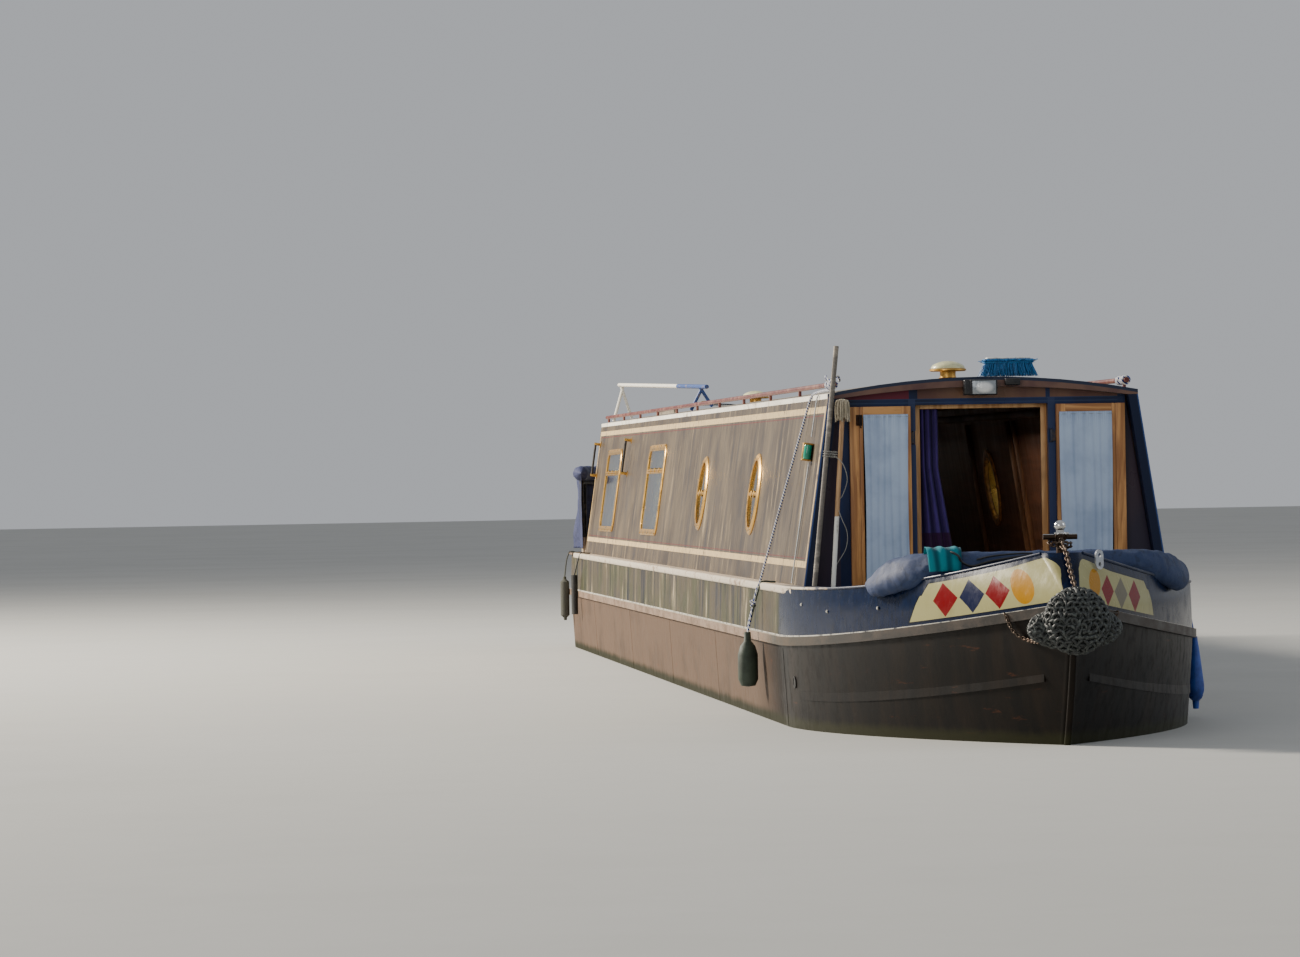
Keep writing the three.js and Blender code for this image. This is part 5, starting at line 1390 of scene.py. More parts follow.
def porthole_parts():
    """Brass ring with its bar and screws, and the pane."""
    section = [(0.0, 0.0003), (0.0, 0.005), (-0.008, 0.012), (-0.026, 0.018), (-0.040, 0.014),
               (-0.044, -0.036), (-0.032, -0.036), (-0.031, 0.0003)]
    screw = [(0, 0.008), (0.006, 0.008), (0.0055, 0.0150), (0.003, 0.0175), (0, 0.0178)]
    parts = [ring(round_outline(PORTHOLE), section), slab(-0.19, 0.19, -0.009, 0.009, 0.001, 0.013, 0.003)]
    screws, screw_circle = 8, 0.213
    for i in range(screws):
        turn = 2 * math.pi / screws * (i + 0.5)
        spot = (screw_circle * math.cos(turn), screw_circle * math.sin(turn), 0)
        parts.append(turned(screw, Matrix.Translation(spot), 8))
    for x in (-0.06, 0.06):
        parts.append(slab(x - 0.012, x + 0.012, -0.02, 0.02, 0.008, 0.018, 0.004))
    return joined(*parts), pane(round_outline(0.187), 0.003)


class NARROWBOAT_OT_windows(bpy.types.Operator):
    """Windows and portholes with their panes and blinds"""
    bl_idname = "narrowboat.windows"
    bl_label = "Windows"

    def execute(self, context):
        brass = metal("brass", paint(214, 168, 88), 0.24)
        clear = glass("window_glass", paint(206, 214, 210))
        kinds = {"window": window_parts(), "porthole": porthole_parts()}
        net = cloth("net_curtain", paint(214, 202, 176), paint(150, 136, 108))
        width, drop, gathers = 1.14, 0.62, 15

        def hang(u, v):
            wave = math.sin(2 * math.pi * gathers * u + 1.5 * folds((u * 3, v, 0), 2, 4))
            return Vector(((u - 0.5) * width, (v - 0.5) * drop, 0.008 * wave - 0.075))

        for node, spot in LIGHTS.items():
            frame, plate = kinds[node.split("_")[0]]
            matrix = on_cabin(*spot)
            finished(copied(frame, matrix), node + ".frame", brass, replaces=(node,))
            finished(copied(plate, matrix), node + ".pane", clear)
            if node.startswith("window"):
                drape = moved(sheet(150, 10, hang, 0.001, shade=tucks(gathers)), matrix)
                finished(drape, node + ".net", net, degrees=180)
        for pair in kinds.values():
            discard(*pair)
        return {"FINISHED"}


class NARROWBOAT_OT_canvas(bpy.types.Operator):
    """The folded cover over the fore end of the well, the cloth on it and the stern hood"""
    bl_idname = "narrowboat.canvas"
    bl_label = "Canvas"

    # Station, half width, height above the gunwale and radius, from the middle, then on to each end.
    STOPS = [(0.915, 0.0, 0.052, 0.064), (0.915, 0.230, 0.052, 0.066), (0.925, 0.380, 0.052, 0.066),
             (0.960, 0.490, 0.052, 0.068), (1.040, 0.570, 0.054, 0.068), (1.150, 0.636, 0.054, 0.064)]
    ENDS = {PORT: [(1.290, 0.712, 0.048, 0.058), (1.450, 0.777, 0.036, 0.044), (1.600, 0.825, 0.020, 0.024),
                   (1.900, 0.900, 0.009, 0.011)],
            STBD: [(1.250, 0.694, 0.040, 0.048), (1.340, 0.733, 0.020, 0.026), (1.410, 0.760, 0.010, 0.012)]}
    CORNER = 1.19  # station of the roll's slack corners
    RAIL_Z = 1.29
    ROLL_Z = 1.3603

    def execute(self, context):
        self.cover()
        self.teal()
        self.hood()
        return {"FINISHED"}

    def cover(self):
        blue = canvas("canvas", tuple(props().canvas), paint(78, 90, 114))
        port, stbd = ([(at(s, hand * y, gunwale(s) + rise), radius)
                       for s, y, rise, radius in self.STOPS + self.ENDS[hand]] for hand in (PORT, STBD))
        stops = stbd[:0:-1] + port

        def creased(base, turn):
            lift = 0.010 * folds(base, 6, 3) + 0.003 * folds((base.x * 2, base.y * 3, base.z), 14, 8)
            ridge = abs(folds((base.x * 2.6, base.y * 1.3, base.z * 1.2), 5, 12))
            out, down = math.cos(turn), -math.sin(turn)
            lift = (lift + 0.026 * max(0.0, 0.20 - ridge)) * (0.2 if down > 0.3 > out else 1)
            # The corners hang slack outside the gunwale.
            slack = 0.066 * max(0.0, 0.5 * out + 0.87 * down) ** 3 * min(1.0, max(0.0, out) * 2.5)
            return lift + slack * math.exp(-(((STEM_X - base.x - self.CORNER) / 0.19) ** 2))

        piece = stuffed_roll([p for p, _ in stops], [r for _, r in stops], 64, creased)
        finished(piece, "well_cover", blue, replaces=("bow_cover",), degrees=180)

    def teal(self):
        """A cloth thrown over the cover, with a black cord beside it."""
        green = cloth("teal_cloth", paint(14, 128, 140), paint(6, 62, 76))
        middle = at(0.915, -0.462, gunwale(0.915) + 0.056)

        def ripple(u, v):
            return math.sin(2 * math.pi * (2.7 * u + 0.3 * v))

        def throw(u, v):
            turn = math.pi * (1.02 * v - 0.02)
            reach = 0.079 + 0.003 * ripple(u, v) + 0.006 * folds((u * 4, v * 1.4, 0), 1.6, 4)
            y = middle.y + (u - 0.5) * (0.150 + 0.02 * math.sin(math.pi * v))
            drop = max(0.0, -0.35 + abs(v - 0.5) * 2) * 0.05
            rise = 0.012 + reach * 0.95 * math.sin(turn) - drop
            return Vector((middle.x + reach * math.cos(turn), y, middle.z + rise))

        piece = sheet(44, 44, throw, 0.003, 1.0, shade=lambda u, v: 0.4 - 0.7 * ripple(u, v))
        finished(piece, "teal_cloth", green, degrees=180)
        black = plain("shock_cord", paint(18, 18, 20), paint(44, 44, 46), 0.5, 60)
        top = gunwale(0.9) + 0.052
        upper = [(0.93, -0.44, 0.060), (0.86, -0.43, 0.068), (0.835, -0.40, 0.05), (0.845, -0.38, 0.02),
                 (0.85, -0.33, 0.0), (0.84, -0.25, 0.02), (0.838, -0.15, 0.035), (0.84, -0.06, 0.045),
                 (0.85, 0.02, 0.04)]
        lower = [(0.85, -0.31, 0.03), (0.84, -0.24, 0.045), (0.842, -0.12, 0.055), (0.86, -0.04, 0.055)]
        cords = [laid([(s, y, top + rise) for s, y, rise in points], radius, 8)
                 for points, radius in ((upper, 0.0055), (lower, 0.0045))]
        finished(joined(*cords), "cover_lashing", black)

    def hood(self):
        """The hood rolled on the stern's rail, and the panel that hangs from it on each quarter."""
        dark = canvas("hood_canvas", paint(44, 50, 84), paint(104, 108, 134))
        rail_half = side(self.RAIL_Z)
        line = [at(COUNTER + COUNTER_LENGTH - 0.062, 0, self.ROLL_Z)]
        for turn in (1.3, 1.1, 0.85, 0.6, 0.38, 0.2):
            s = COUNTER + (COUNTER_LENGTH - 0.062) * math.sin(turn) ** (2 / ROUNDNESS)
            y = rail_half * math.cos(turn) ** (2 / ROUNDNESS) * (1 - 0.062 / HALF_BEAM)
            line.append(at(s, y, self.ROLL_Z))
        line.append(at(16.328, rail_half - 0.048, self.ROLL_Z))
        route = [Vector((p.x, -p.y, p.z)) for p in reversed(line[1:])] + line

        def bunched(base, turn):
            lift = 0.010 * folds((base.x * 3, base.y * 3, base.z), 5, 21) + 0.008 * folds(base, 22, 22)
            return lift * (1 if math.sin(turn) > -0.5 else 0.3)

        piece = stuffed_roll(route, [0.056] * len(route), 36, bunched)
        finished(piece, "hood_roll", dark, replaces=("stern_hood",), degrees=180)
        hang_line = smooth_path([at(16.338, rail_half - 0.062)] + line[6:2:-1], 8)
        last = len(hang_line) - 1
        waves = 4.4
        for name, hand in HANDS:
            def panel(u, v):
                i = min(int(u * last), last - 1)
                here, after = hang_line[i], hang_line[i + 1]
                spot = here.lerp(after, u * last - i)
                way = (after - here).normalized()
                wave = math.sin(2 * math.pi * (waves * u + 0.25 * math.sin(3 * v + hand)))
                wave = 0.022 * wave * (1 - 0.55 * v)
                wave += 0.012 * folds((u * 5, v * 2.5, hand), 2.2, 31) + 0.012 * (1 - v) ** 2
                spot = Vector((spot.x, spot.y, 0)) + Vector((way.y, -way.x, 0)) * (0.043 + wave)
                return Vector((spot.x, hand * spot.y, blend(0.775, 1.352, v)))

            side_panel = sheet(110, 44, panel, 0.004, shade=tucks(waves))
            finished(side_panel, f"hood_panel_{name}", dark, degrees=180)


class NARROWBOAT_OT_fender(bpy.types.Operator):
    """The knotted bow fender, its chains and the stud that they hang from"""
    bl_idname = "narrowboat.fender"
    bl_label = "Bow fender"

    # The fender's ball and its crossways sausage: middle, half sizes, rows of knots, and how far in its core
    # lies.
    LOBES = (((STEM_X + 0.070, 0, 0.581), (0.112, 0.142, 0.142), 17, 0.007),
             ((STEM_X + 0.012, 0, 0.546), (0.068, 0.208, 0.088), 15, 0.008))

    def execute(self, context):
        self.knots()
        self.chains()
        polished = chrome()
        smoothed(polished, "t_stud")
        # A bow shackle under the ball.
        spot = at(0.30, 0, 0.962)
        turns = [math.pi * (0.15 + 0.17 * i) for i in range(11)]
        bow = [spot + Vector((0.012 * math.cos(t) + 0.004, 0.024 * math.sin(t), 0.020 * math.cos(t)))
               for t in turns]
        bow = rope(bow, 0.0055, 4)
        ends = [spot + Vector((0.012, hand * 0.034, 0.016)) for hand in (STBD, PORT)]
        pin = rod(*ends, 0.005, 12, 0.001)
        finished(joined(bow, pin), "fender_shackle", polished)
        # An eye plate on the port bow, pierced twice.
        plate = pane(box_outline(0.092, 0.056, 0.026, 8), 0.004)
        for x in (-0.022, 0.020):
            drill = rod((x, 0, -0.02), (x, 0, 0.02), 0.0105, 20)
            modify(plate, "BOOLEAN", object=drill, solver="EXACT")
            discard(drill)
        s, z = 0.31, 0.853
        out = Vector((0.75, 0.66, 0)).normalized()
        up = Vector((-0.05, 0, 1)).normalized()
        plate = moved(plate, framed(up, out.cross(up), out, at(s, hull_half(s, z) + 0.006, z)))
        grey = steel("plate_grey", paint(176, 180, 186), paint(214, 212, 204), 0.15, 0.4, 0.4)
        finished(plate, "eye_plate", grey)
        return {"FINISHED"}

    def chains(self):
        """The chain from the stud to the fender, a slack bight round the stud's foot, and the two stays."""
        pitch = 0.0225
        deselect()
        bpy.ops.mesh.primitive_torus_add(
            major_radius=0.010, minor_radius=0.0042, major_segments=16, minor_segments=8)
        link = settled()
        link.data.transform(Matrix.Diagonal((1.5, 1.0, 1.0, 1.0)))
        small = copied(link, Matrix.Diagonal((0.75, 0.75, 0.75, 1)))
        line = [(0.294, 0, 0.944), (0.262, 0, 0.917), (0.228, 0, 0.909), (0.180, 0, 0.892), (0.060, 0, 0.800),
                (-0.056, 0, 0.724)]
        foot = at(0.33, 0, 0.905)
        bight = []
        for t in (0.4 * i for i in range(17)):
            rise = 0.010 + 0.014 * math.sin(2 * t) + 0.03 * t / 6.5
            bight.append(foot + Vector((0.030 * math.cos(t), 0.050 * math.sin(t), rise)))
        links = self.chain(link, [at(*point) for point in line], pitch) + self.chain(link, bight, pitch)
        for hand in (PORT, STBD):
            stay = [(0.33, 0.262, 0.602), (0.30, 0.232, 0.53), (0.24, 0.18, 0.490), (0.10, 0.14, 0.480)]
            links += self.chain(small, [at(s, hand * y, z) for s, y, z in stay], 0.017)
        discard(link, small)
        dull = metal("chain_steel", paint(96, 84, 74), 0.4, paint(70, 42, 28), 0.7)
        finished(joined(*links), "fender_chain", dull, degrees=60)

    def chain(self, link, points, pitch):
        """Links along a line, each turned a quarter from the last."""
        line = smooth_path(points, 12)
        lengths = [0.0]
        for a, b in zip(line, line[1:]):
            lengths.append(lengths[-1] + (b - a).length)
        links = []
        for i in range(int(lengths[-1] / pitch) + 1):
            where = i * pitch
            k = min(max(j for j, length in enumerate(lengths) if length <= where), len(line) - 2)
            a, b = line[k], line[k + 1]
            ahead = (b - a).normalized()
            level = ahead.cross(Vector((0, 0, 1)))
            level = level.normalized() if level.length > 0.1 else Vector((0, 1, 0))
            across = ahead.cross(level) if i % 2 else level
            spot = a + (b - a) * ((where - lengths[k]) / max(lengths[k + 1] - lengths[k], 1e-6))
            links.append(copied(link, framed(ahead, across, ahead.cross(across), spot)))
        return links

    def knots(self):
        knot = props().knot
        deselect()
        bpy.ops.mesh.primitive_torus_add(
            major_radius=knot * 0.95, minor_radius=knot * 0.52, major_segments=8, minor_segments=6)
        unit = settled()
        unit.data.transform(Matrix.Diagonal((1.35, 0.9, 1.0, 1.0)))
        knots = []
        for centre, half, rows, _ in self.LOBES:
            for i in range(rows):
                rise = math.pi * (i + 0.5) / rows
                belt = math.sin(rise)
                count = max(4, round(2 * math.pi * belt * max(half) / (knot * 2.0)))
                for k in range(count):
                    turn = 2 * math.pi * (k + 0.5 * (i % 2)) / count
                    way = Vector((belt * math.cos(turn), belt * math.sin(turn), math.cos(rise)))
                    spot = Vector(centre) + way * Vector(half)
                    if spot.x < STEM_X - 0.05:
                        continue
                    out = Vector((way.x / half[0], way.y / half[1], way.z / half[2])).normalized()
                    lean = out.to_track_quat("Z", "Y").to_matrix().to_4x4()
                    twist = Matrix.Rotation(0.75 * (-1) ** (i + k) + 1.6 * folds(spot, 30, 5), 4, "Z")
                    tip = Matrix.Rotation(0.75 + 0.7 * folds(spot, 40, 9), 4, "X")
                    spot = spot + out * 0.006 * folds(spot, 24, 14)
                    knots.append(copied(unit, Matrix.Translation(spot) @ lean @ twist @ tip))
        discard(unit)
        for centre, half, _, inset in self.LOBES:
            core = [size - inset for size in half]
            deselect()
            bpy.ops.mesh.primitive_uv_sphere_add(segments=20, ring_count=12, location=centre, scale=core)
            knots.append(settled())
        # The pale mottle over the dark rope is a painted highlight on the knots.
        tarred = plain("fender_rope", paint(22, 25, 27), paint(96, 102, 98), 0.6, 70)
        finished(joined(*knots), "knotted_fender", tarred, replaces=("bow_fender",),
                 degrees=60)


class NARROWBOAT_OT_gear(bpy.types.Operator):
    """Rails, lamps, vents, poles, brush and mop"""
    bl_idname = "narrowboat.gear"
    bl_label = "Gear"

    RAIL_Y = 0.752
    VENT_BASE = [(0, 0), (0.060, 0), (0.060, 0.010), (0.054, 0.013), (0.044, 0.018), (0.042, 0.030),
                 (0.042, 0.050), (0.090, 0.051), (0.098, 0.055), (0.0975, 0.062), (0.091, 0.066), (0, 0.066)]
    VENT_DOME = [(0, 0.0655), (0.090, 0.0655), (0.089, 0.074), (0.082, 0.083), (0.070, 0.091), (0.050, 0.099),
                 (0.028, 0.1045), (0, 0.106)]

    def execute(self, context):
        striped = striped_rope()
        self.rails(striped)
        self.lines(striped)
        self.grab_rails()
        self.lamps()
        self.vents()
        self.poles()
        self.mop()
        self.brush()
        smoothed(rudder_paint(), "rudder", body="rudder")
        bronze = metal("bronze", paint(176, 130, 76), 0.35, paint(60, 74, 52), 0.7)
        smoothed(bronze, "propeller", body="propeller")
        return {"FINISHED"}

    def rails(self, striped):
        """The rails along the roof, each wound with rope at its fore end."""
        red = plain("rail_red", tuple(props().rails), paint(132, 92, 76), 0.5, 9)
        smoothed(red, "handrail_port", "handrail_stbd")
        radius = props().lashing / 2
        reach = 0.0135 + radius
        steps = 10  # points in each turn
        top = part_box("handrail_port")[1].z - 0.013
        windings = []
        for hand in (PORT, STBD):
            for start, turns in ((2.575, 7), (2.70, 5)):
                points = []
                for i in range(turns * steps + 1):
                    turn = 2 * math.pi * i / steps
                    s = start + 0.0118 * i / steps
                    centre = at(s, hand * self.RAIL_Y, top - 0.0043 * (16.19 - s))
                    points.append(centre + Vector((0, reach * math.cos(turn), reach * math.sin(turn))))
                windings.append(rope(points, radius, 2))
        finished(joined(*windings), "rail_windings", striped, degrees=60)

    def lines(self, striped):
        """The line from the starboard rail over the roof's edge to the fore fender, and the lamp's leads."""
        top = roof_top(3.0, -self.RAIL_Y) + 0.02
        edge = (3.12, -0.806, 1.66)
        run = [(2.66, -0.745, top + 0.028), (2.80, -0.738, top), (2.96, -0.76, top - 0.006),
               (3.08, -0.790, 1.694), edge]
        taut = [edge, (3.36, -0.918, 1.19), (3.58, -1.029, 0.722), (3.585, -1.040, 0.70),
                (3.56, -1.068, 0.612)]
        line = [
            laid(run, 0.0062, 8), laid(taut, 0.0062),
            laid([(3.56 + 0.014 * math.cos(t), -1.070 - 0.012 * math.sin(2 * t), 0.606 + 0.016 * math.sin(t))
                  for t in (0.6 * i for i in range(22))], 0.0052, 3),
            laid([(2.70 + 0.05 * math.cos(t), -0.74 + 0.035 * math.sin(t), 1.765 + 0.012 * math.sin(3 * t))
                  for t in (0.5 * i for i in range(14))], 0.0062, 4)]
        for d in (-0.020, 0.020):
            leg = [(3.56, -1.070, 0.600), (3.56 + d, -1.090, 0.52), (3.55 + d * 0.5, -1.104, 0.450)]
            line.append(laid(leg, 0.005, 5))
        finished(joined(*line), "fender_line", striped, degrees=60)
        above = [(2.80, -0.800, 1.682), (2.835, -0.806, 1.655), (2.84, -0.835, 1.47)]
        below = [(2.85, -0.850, 1.34), (2.875, -0.90, 1.02), (2.90, -0.938, 0.76), (2.90, -0.944, 0.722)]
        leads = [laid([(s + d, y, z) for s, y, z in points], 0.0028, 5)
                 for d in (0.0, 0.014) for points in (above, below)]
        grey = plain("cable_grey", paint(168, 170, 172), paint(120, 120, 118), 0.5, 40)
        finished(joined(*leads), "lamp_cable", grey)

    def grab_rails(self):
        """Grab rails low on the cabin's sides, with brass ends."""
        rose = [(0, 0), (0.024, 0), (0.024, 0.004), (0.012, 0.007), (0, 0.007)]
        bars, ends = [], []
        for s in (13.46, 16.12):
            low, high = (on_cabin(s, z, PORT) for z in (1.34, 1.58))
            out = low.col[2].xyz * 0.042
            bars.append(rod(low.translation + out, high.translation + out, 0.009, 14))
            for foot in (low.translation, high.translation):
                ends.append(rod(foot, foot + out * 1.25, 0.011, 14, 0.002))
                ends.append(turned(rose, aimed(foot, foot + out), 20))
        black = plain("rail_black", paint(34, 30, 28), paint(72, 60, 50), 0.4)
        finished(both(joined(*bars)), "grab_rails", black)
        brass = metal("rail_brass", paint(204, 160, 82), 0.28)
        finished(both(joined(*ends)), "grab_rail_ends", brass)

    def lamps(self):
        """The headlamp and the sensor beside it, and a navigation lamp on each side."""
        black = plain("lamp_black", paint(20, 21, 24), paint(48, 46, 44), 0.3, 30)
        low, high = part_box("headlamp")
        shell = block(low, (high.x - 0.006, high.y, high.z), 0.007, 3)
        corner = high - Vector((0.001, 0.001, 0.001))
        bezel = block((high.x - 0.012, low.y + 0.030, low.z + 0.001), corner, 0.004, 3)
        finished(joined(shell, bezel), "headlamp_shell", black, replaces=("headlamp",))
        lens = slab(high.x - 0.004, high.x + 0.0005, -0.067, 0.053, 1.6685, 1.7370)
        finished(lens, "headlamp_lens", lens_glass())
        sensor = block((STEM_X - 2.4775, 0.107, 1.712), (STEM_X - 2.440, 0.184, 1.7475), 0.005, 3)
        finished(sensor, "roof_sensor", black)
        brass = metal("lamp_brass", paint(190, 150, 84), 0.26, paint(84, 70, 48), 0.6)
        colours = {"port": ("red", paint(214, 22, 34)), "stbd": ("green", paint(10, 150, 120))}
        for name, hand in HANDS:
            shell = joined(block((-0.036, -0.045, 0.0005), (0.010, 0.045, 0.052), 0.006, 3),
                           block((-0.036, 0.036, 0.0005), (0.034, 0.046, 0.054), 0.004, 3),
                           block((-0.036, -0.046, 0.0005), (0.034, -0.037, 0.054), 0.004, 3))
            bulb = rod((0.014, -0.037, 0.026), (0.014, 0.037, 0.026), 0.021, 24, 0.002)
            matrix = on_cabin(2.84, 1.39, hand)
            node = f"nav_lamp_{name}"
            finished(moved(shell, matrix), node + ".shell", brass, replaces=(node,))
            word, colour = colours[name]
            lens_paint = plain(f"lens_{name}", colour, (*(c * 0.5 for c in colour[:3]), 1.0), 0.12, 20, 0.5)
            finished(moved(bulb, matrix), node + ".lens", lens_paint)

    def vents(self):
        brass = metal("vent_brass", paint(196, 152, 80), 0.28, paint(96, 84, 50), 0.6)
        cream = plain("vent_cream", paint(206, 204, 160), paint(150, 150, 112), 0.35, 20, 0.3)
        for node in ("vent_fore", "vent_aft"):
            low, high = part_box(node)
            place = Matrix.Translation(((low.x + high.x) / 2, (low.y + high.y) / 2, low.z))
            base = turned(self.VENT_BASE, place, 40)
            finished(base, node + ".brass", brass, replaces=(node,))
            finished(turned(self.VENT_DOME, place, 40), node + ".dome", cream, degrees=50)

    def poles(self):
        weathered = steel("pole_steel", paint(118, 112, 104), paint(168, 160, 146), 0.45, 0.5, 0.4)
        smoothed(weathered, "corner_pole")
        smoothed(pole_paint(), "boat_pole")

    def mop(self):
        """The mop, head up in the corner, with the string that ties it and the corner pole."""
        head = at(2.44, -0.726, 1.600)
        staff = rod(at(2.44, -0.832, 0.1092), head, 0.012)
        finished(staff, "mop_staff", mop_paint(), replaces=("mop",))
        strands = []
        count = 46
        for i in range(count):
            turn = 2 * math.pi * i / count * 5.03
            spread = 0.010 + 0.024 * ((i * 7) % 11) / 10
            drop = 0.02 + 0.04 * ((i * 5) % 7) / 6
            route = [(0.008, 0.052), (spread, 0.035), (0.020 + spread * 0.45, -drop)]
            points = [head + Vector((reach * math.cos(turn), reach * math.sin(turn), rise))
                      for reach, rise in route]
            strands.append(rope(points, 0.0042, 4, 1))
        cotton = rope_finish("mop_cotton", paint(206, 196, 174), paint(140, 124, 98), 1000)
        finished(joined(*strands), "mop_strings", cotton, degrees=60)
        # The string's three turns and its loose end.
        pieces = []
        for z in (1.36, 1.372, 1.384):
            y = (z - 0.714) / 1.209 * 0.132 - 0.864
            pieces.append(laid([(2.44 + 0.017 * math.cos(t), y + 0.036 * math.sin(t), z + 0.002 * t)
                                for t in (math.pi / 6 * i for i in range(13))], 0.002, 3))
        tail = [(2.43, -0.775, 1.37), (2.41, -0.735, 1.33), (2.415, -0.712, 1.25), (2.43, -0.735, 1.17),
                (2.435, -0.762, 1.13), (2.428, -0.745, 1.06), (2.43, -0.715, 0.98), (2.44, -0.722, 0.90),
                (2.452, -0.768, 0.82), (2.455, -0.778, 0.775)]
        pieces.append(laid(tail, 0.002))
        string = rope_finish("string", paint(190, 188, 180), paint(112, 108, 100), 2200)
        finished(joined(*pieces), "pole_string", string, degrees=60)

    def brush(self):
        """The deck brush on its back, its bristles splayed by use."""
        low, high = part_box("deck_brush")
        centre = (low + high) / 2
        board_foot = low.z + props().bristle + 0.012
        deselect()
        bpy.ops.mesh.primitive_cone_add(
            vertices=5, radius1=0.0026, radius2=0.0012, depth=1, location=(0, 0, 0.5))
        unit = settled()
        hairs = []

        def hair(root, tip):
            hairs.append(copied(unit, aimed(root, tip) @ Matrix.Diagonal((1, 1, (tip - root).length, 1))))

        rows, columns, rim = 14, 40, 70
        for i in range(rows):
            for j in range(columns):
                u, v = (i + 0.5) / rows * 2 - 1, (j + 0.5) / columns * 2 - 1
                sway = folds((i, j, 0), 0.73, 1) * 0.016
                lean = folds((i, j, 5), 0.71, 2) * 0.022
                short = abs(folds((i, j, 9), 0.77, 3)) * 0.016
                root = Vector((centre.x + u * 0.034, centre.y + v * 0.120, board_foot))
                hair(root, Vector((centre.x + u * 0.052 + sway, centre.y + v * 0.144 + lean,
                                   low.z + 0.002 + short)))
        for j in range(rim):
            v = (j + 0.5) / rim * 2 - 1
            for u in (-1, 1):
                root = Vector((centre.x + u * 0.034, centre.y + v * 0.122, board_foot + 0.004))
                splay = Vector((u * (0.020 + 0.01 * folds((j, u, 3), 0.7, 6)),
                                v * 0.026 + 0.01 * folds((j, u, 1), 0.9, 7),
                                0.006 + 0.022 * folds((j, u, 2), 0.8, 5)))
                hair(root, root + splay)
        discard(unit)
        blue = plain("brush_bristle", paint(26, 110, 168), paint(12, 58, 104), 0.5, 90)
        finished(joined(*hairs), "brush_bristles", blue, replaces=("deck_brush",),
                 degrees=60)
        board, cap = (block(centre.xy.to_3d() + Vector((-x, -y, board_foot + foot)),
                            centre.xy.to_3d() + Vector((x, y, board_foot + top)), bevel, segments)
                      for x, y, foot, top, bevel, segments in ((0.036, 0.128, -0.004, 0.018, 0.005, 3),
                                                               (0.032, 0.112, 0.0182, 0.026, 0.003, 2)))
        back_paint = plain("brush_back", paint(34, 118, 176), paint(16, 66, 112), 0.4, 50)
        finished(board, "brush_back", back_paint)
        white = plain("brush_white", paint(222, 222, 214), paint(170, 168, 158))
        finished(cap, "brush_cap", white)


class NARROWBOAT_OT_fenders(bpy.types.Operator):
    """Fenders hung along the sides"""
    bl_idname = "narrowboat.fenders"
    bl_label = "Side fenders"

    def execute(self, context):
        smoothed(plain("fender_blue", paint(46, 84, 170), paint(22, 40, 96), 0.45, 9), "fender_port")
        smoothed(plain("fender_green", paint(50, 62, 50), paint(26, 32, 26), 0.65, 9), "fender_fore_stbd")
        smoothed(plain("fender_black", paint(26, 26, 26), paint(60, 58, 54), 0.6, 14), "fender_aft_stbd")
        smoothed(rope_finish("fender_stern", paint(104, 104, 96), paint(44, 44, 40)), "fender_stern_stbd")
        return {"FINISHED"}


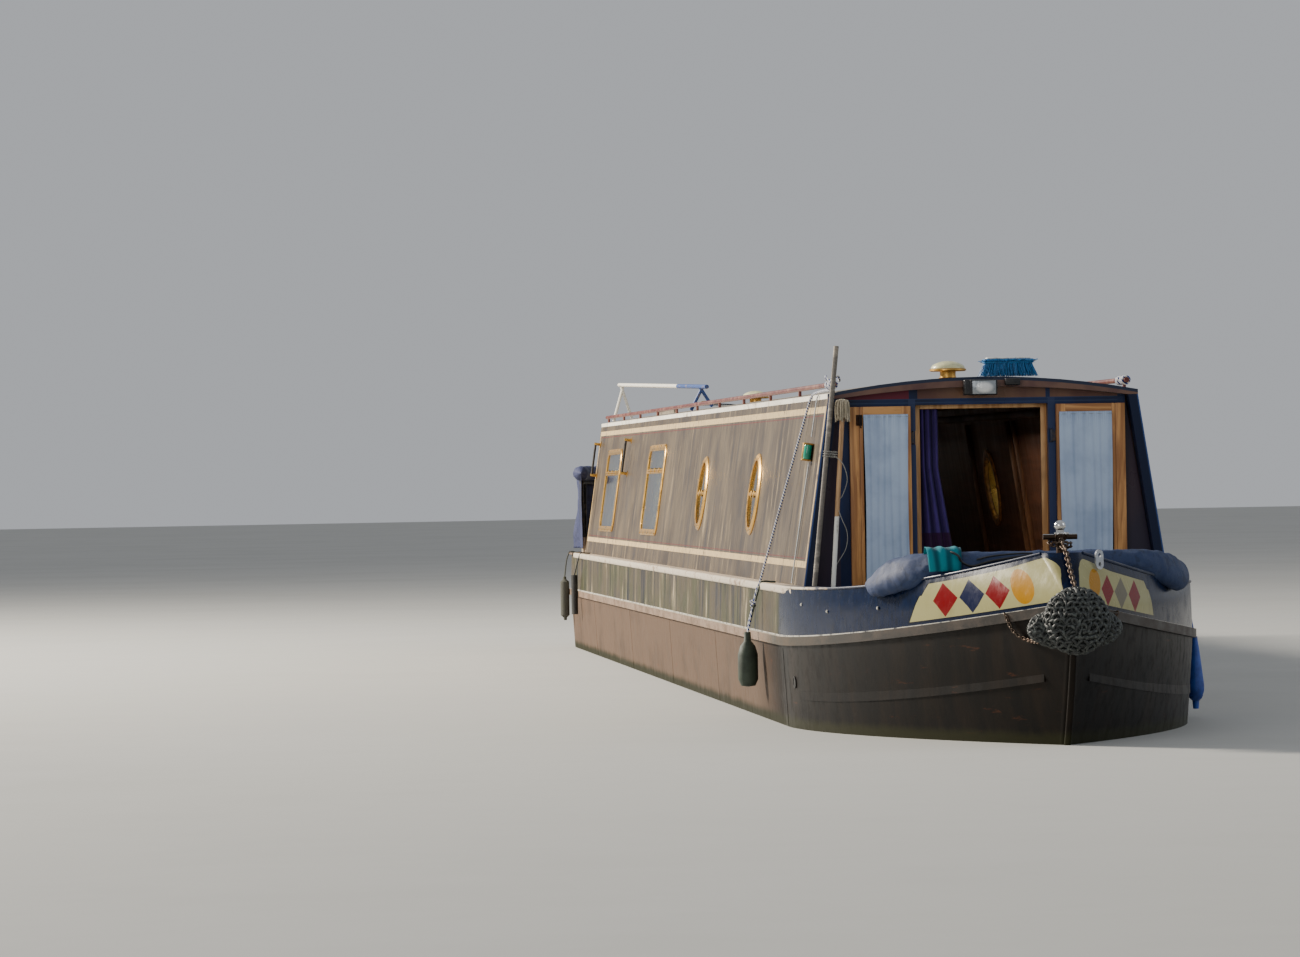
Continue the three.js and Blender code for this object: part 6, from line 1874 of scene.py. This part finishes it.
class NARROWBOAT_OT_curtains(bpy.types.Operator):
    """Curtains on the front doors and inside the doorway"""
    bl_idname = "narrowboat.curtains"
    bl_label = "Curtains"

    def execute(self, context):
        pale = cloth("door_curtain", tuple(props().curtain), paint(92, 114, 156))
        for name, hand in HANDS:
            self.pleats(name, hand, pale)
        self.drape()
        return {"FINISHED"}

    def pleats(self, name, hand, pale):
        """The curtain that rides on a front door, gathered on a wire at its head."""
        node, body = f"door_curtain_{name}", f"front_door_{name}"
        low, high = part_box(node)
        middle = (low.x + high.x) / 2
        pleats, deepest = 6, 0.0034
        seed = hand * 4 + 9

        def hang(u, v):
            sway = 0.45 * folds((u * 3, v * 1.2, 0), 1.3, seed)
            fullness = 0.55 + 0.45 * folds((u * 5, v * 2, 0), 1, seed + 2)
            depth = 0.0030 * math.sin(2 * math.pi * (pleats * u + sway)) * fullness
            gather = 0.0014 * math.sin(2 * math.pi * pleats * 4.3 * u) * max(0.0, (v - 0.94) / 0.06)
            depth = max(-deepest, min(deepest, depth + gather))
            inset = 0.004 * (1 + math.sin(5 * v + seed)) * (1 - 2 * u)
            return Vector((middle + depth, blend(low.y, high.y, u) + inset, blend(low.z, high.z, v)))

        def shade(u, v):
            depth = (middle - hang(u, v).x) / deepest
            tucks = 0.35 * max(0.0, math.sin(2 * math.pi * pleats * 4.3 * u)) * max(0.0, (v - 0.92) / 0.08)
            return 0.5 * max(0.0, depth) ** 1.3 + tucks + 0.12 * (1 - v)

        piece = sheet(150, 60, hang, 0.0011, shade=shade)
        finished(piece, f"pleats_{name}", pale, body, (node,), 180)
        z = high.z - 0.012
        wire = rod((middle, low.y - 0.004, z), (middle, high.y + 0.004, z), 0.0012, 8)
        wire_metal = metal(f"wire_{name}", paint(180, 178, 170), 0.3)
        finished(wire, f"curtain_wire_{name}", wire_metal, body)

    def drape(self):
        """The purple curtain, gathered at its head and let out below, on its rod."""
        x = 6.050
        # Height and Y of its free edge, from the foot up.
        stops = ((0.455, -0.075), (1.0, -0.165), (1.3, -0.215), (1.625, -0.215))

        def edge(z):
            (z0, y0), (z1, y1) = next(pair for pair in zip(stops, stops[1:]) if z <= pair[1][0])
            return blend(y0, y1, (z - z0) / (z1 - z0))

        def pleat(u, v):
            drift = 1.6 * folds((u * 1.5, v * 1.2, 0), 1.6, 15) + 0.6 * v
            broad = math.sin(2 * math.pi * 3.4 * u ** 0.9 + drift)
            return 0.78 * broad + 0.22 * math.sin(2 * math.pi * 9 * u) * v

        def hang(u, v):
            z = blend(0.458, 1.612, v)
            return Vector((x + 0.0155 * pleat(u, v), blend(-0.330, edge(z), u), z))

        piece = sheet(120, 60, hang, 0.002, shade=lambda u, v: 0.5 - 0.6 * pleat(u, v))
        finished(piece, "purple_drape", drape_cloth(), replaces=("doorway_curtain",),
                 degrees=180)
        parts = [rod((x, -0.400, 1.625), (x, 0.400, 1.625), 0.008, 14)]
        parts += [slab(x - 0.010, 6.0916, y - 0.006, y + 0.006, 1.615, 1.635) for y in (-0.4, 0.4)]
        rod_wood = wood("rod_wood", paint(150, 104, 62), paint(98, 64, 36), (1, 0.08, 1))
        finished(joined(*parts), "drape_rod", rod_wood)


ORDER = ["stage", "hull", "cabin", "doors", "windows", "canvas", "fender", "gear", "fenders", "curtains"]


class NARROWBOAT_PT_panel(bpy.types.Panel):
    """Lists the narrowboat's pieces"""
    bl_idname = "NARROWBOAT_PT_panel"
    bl_label = "Narrowboat"
    bl_space_type = "VIEW_3D"
    bl_region_type = "UI"
    bl_category = "Narrowboat"

    def draw(self, context):
        column = self.layout.column()
        for name in ORDER:
            column.operator("narrowboat." + name)
        for name in NarrowboatProperties.__annotations__:
            column.prop(context.scene.narrowboat, name)


CLASSES = [NarrowboatProperties, NARROWBOAT_OT_stage, NARROWBOAT_OT_hull, NARROWBOAT_OT_cabin,
           NARROWBOAT_OT_doors, NARROWBOAT_OT_windows, NARROWBOAT_OT_canvas, NARROWBOAT_OT_fender,
           NARROWBOAT_OT_gear, NARROWBOAT_OT_fenders, NARROWBOAT_OT_curtains, NARROWBOAT_PT_panel]


def register():
    for cls in CLASSES:
        bpy.utils.register_class(cls)
    bpy.types.Scene.narrowboat = bpy.props.PointerProperty(type=NarrowboatProperties)


def unregister():
    del bpy.types.Scene.narrowboat
    for cls in reversed(CLASSES):
        bpy.utils.unregister_class(cls)


def main():
    register()
    for name in ORDER:
        getattr(bpy.ops.narrowboat, name)()


if __name__ == "__main__":
    main()
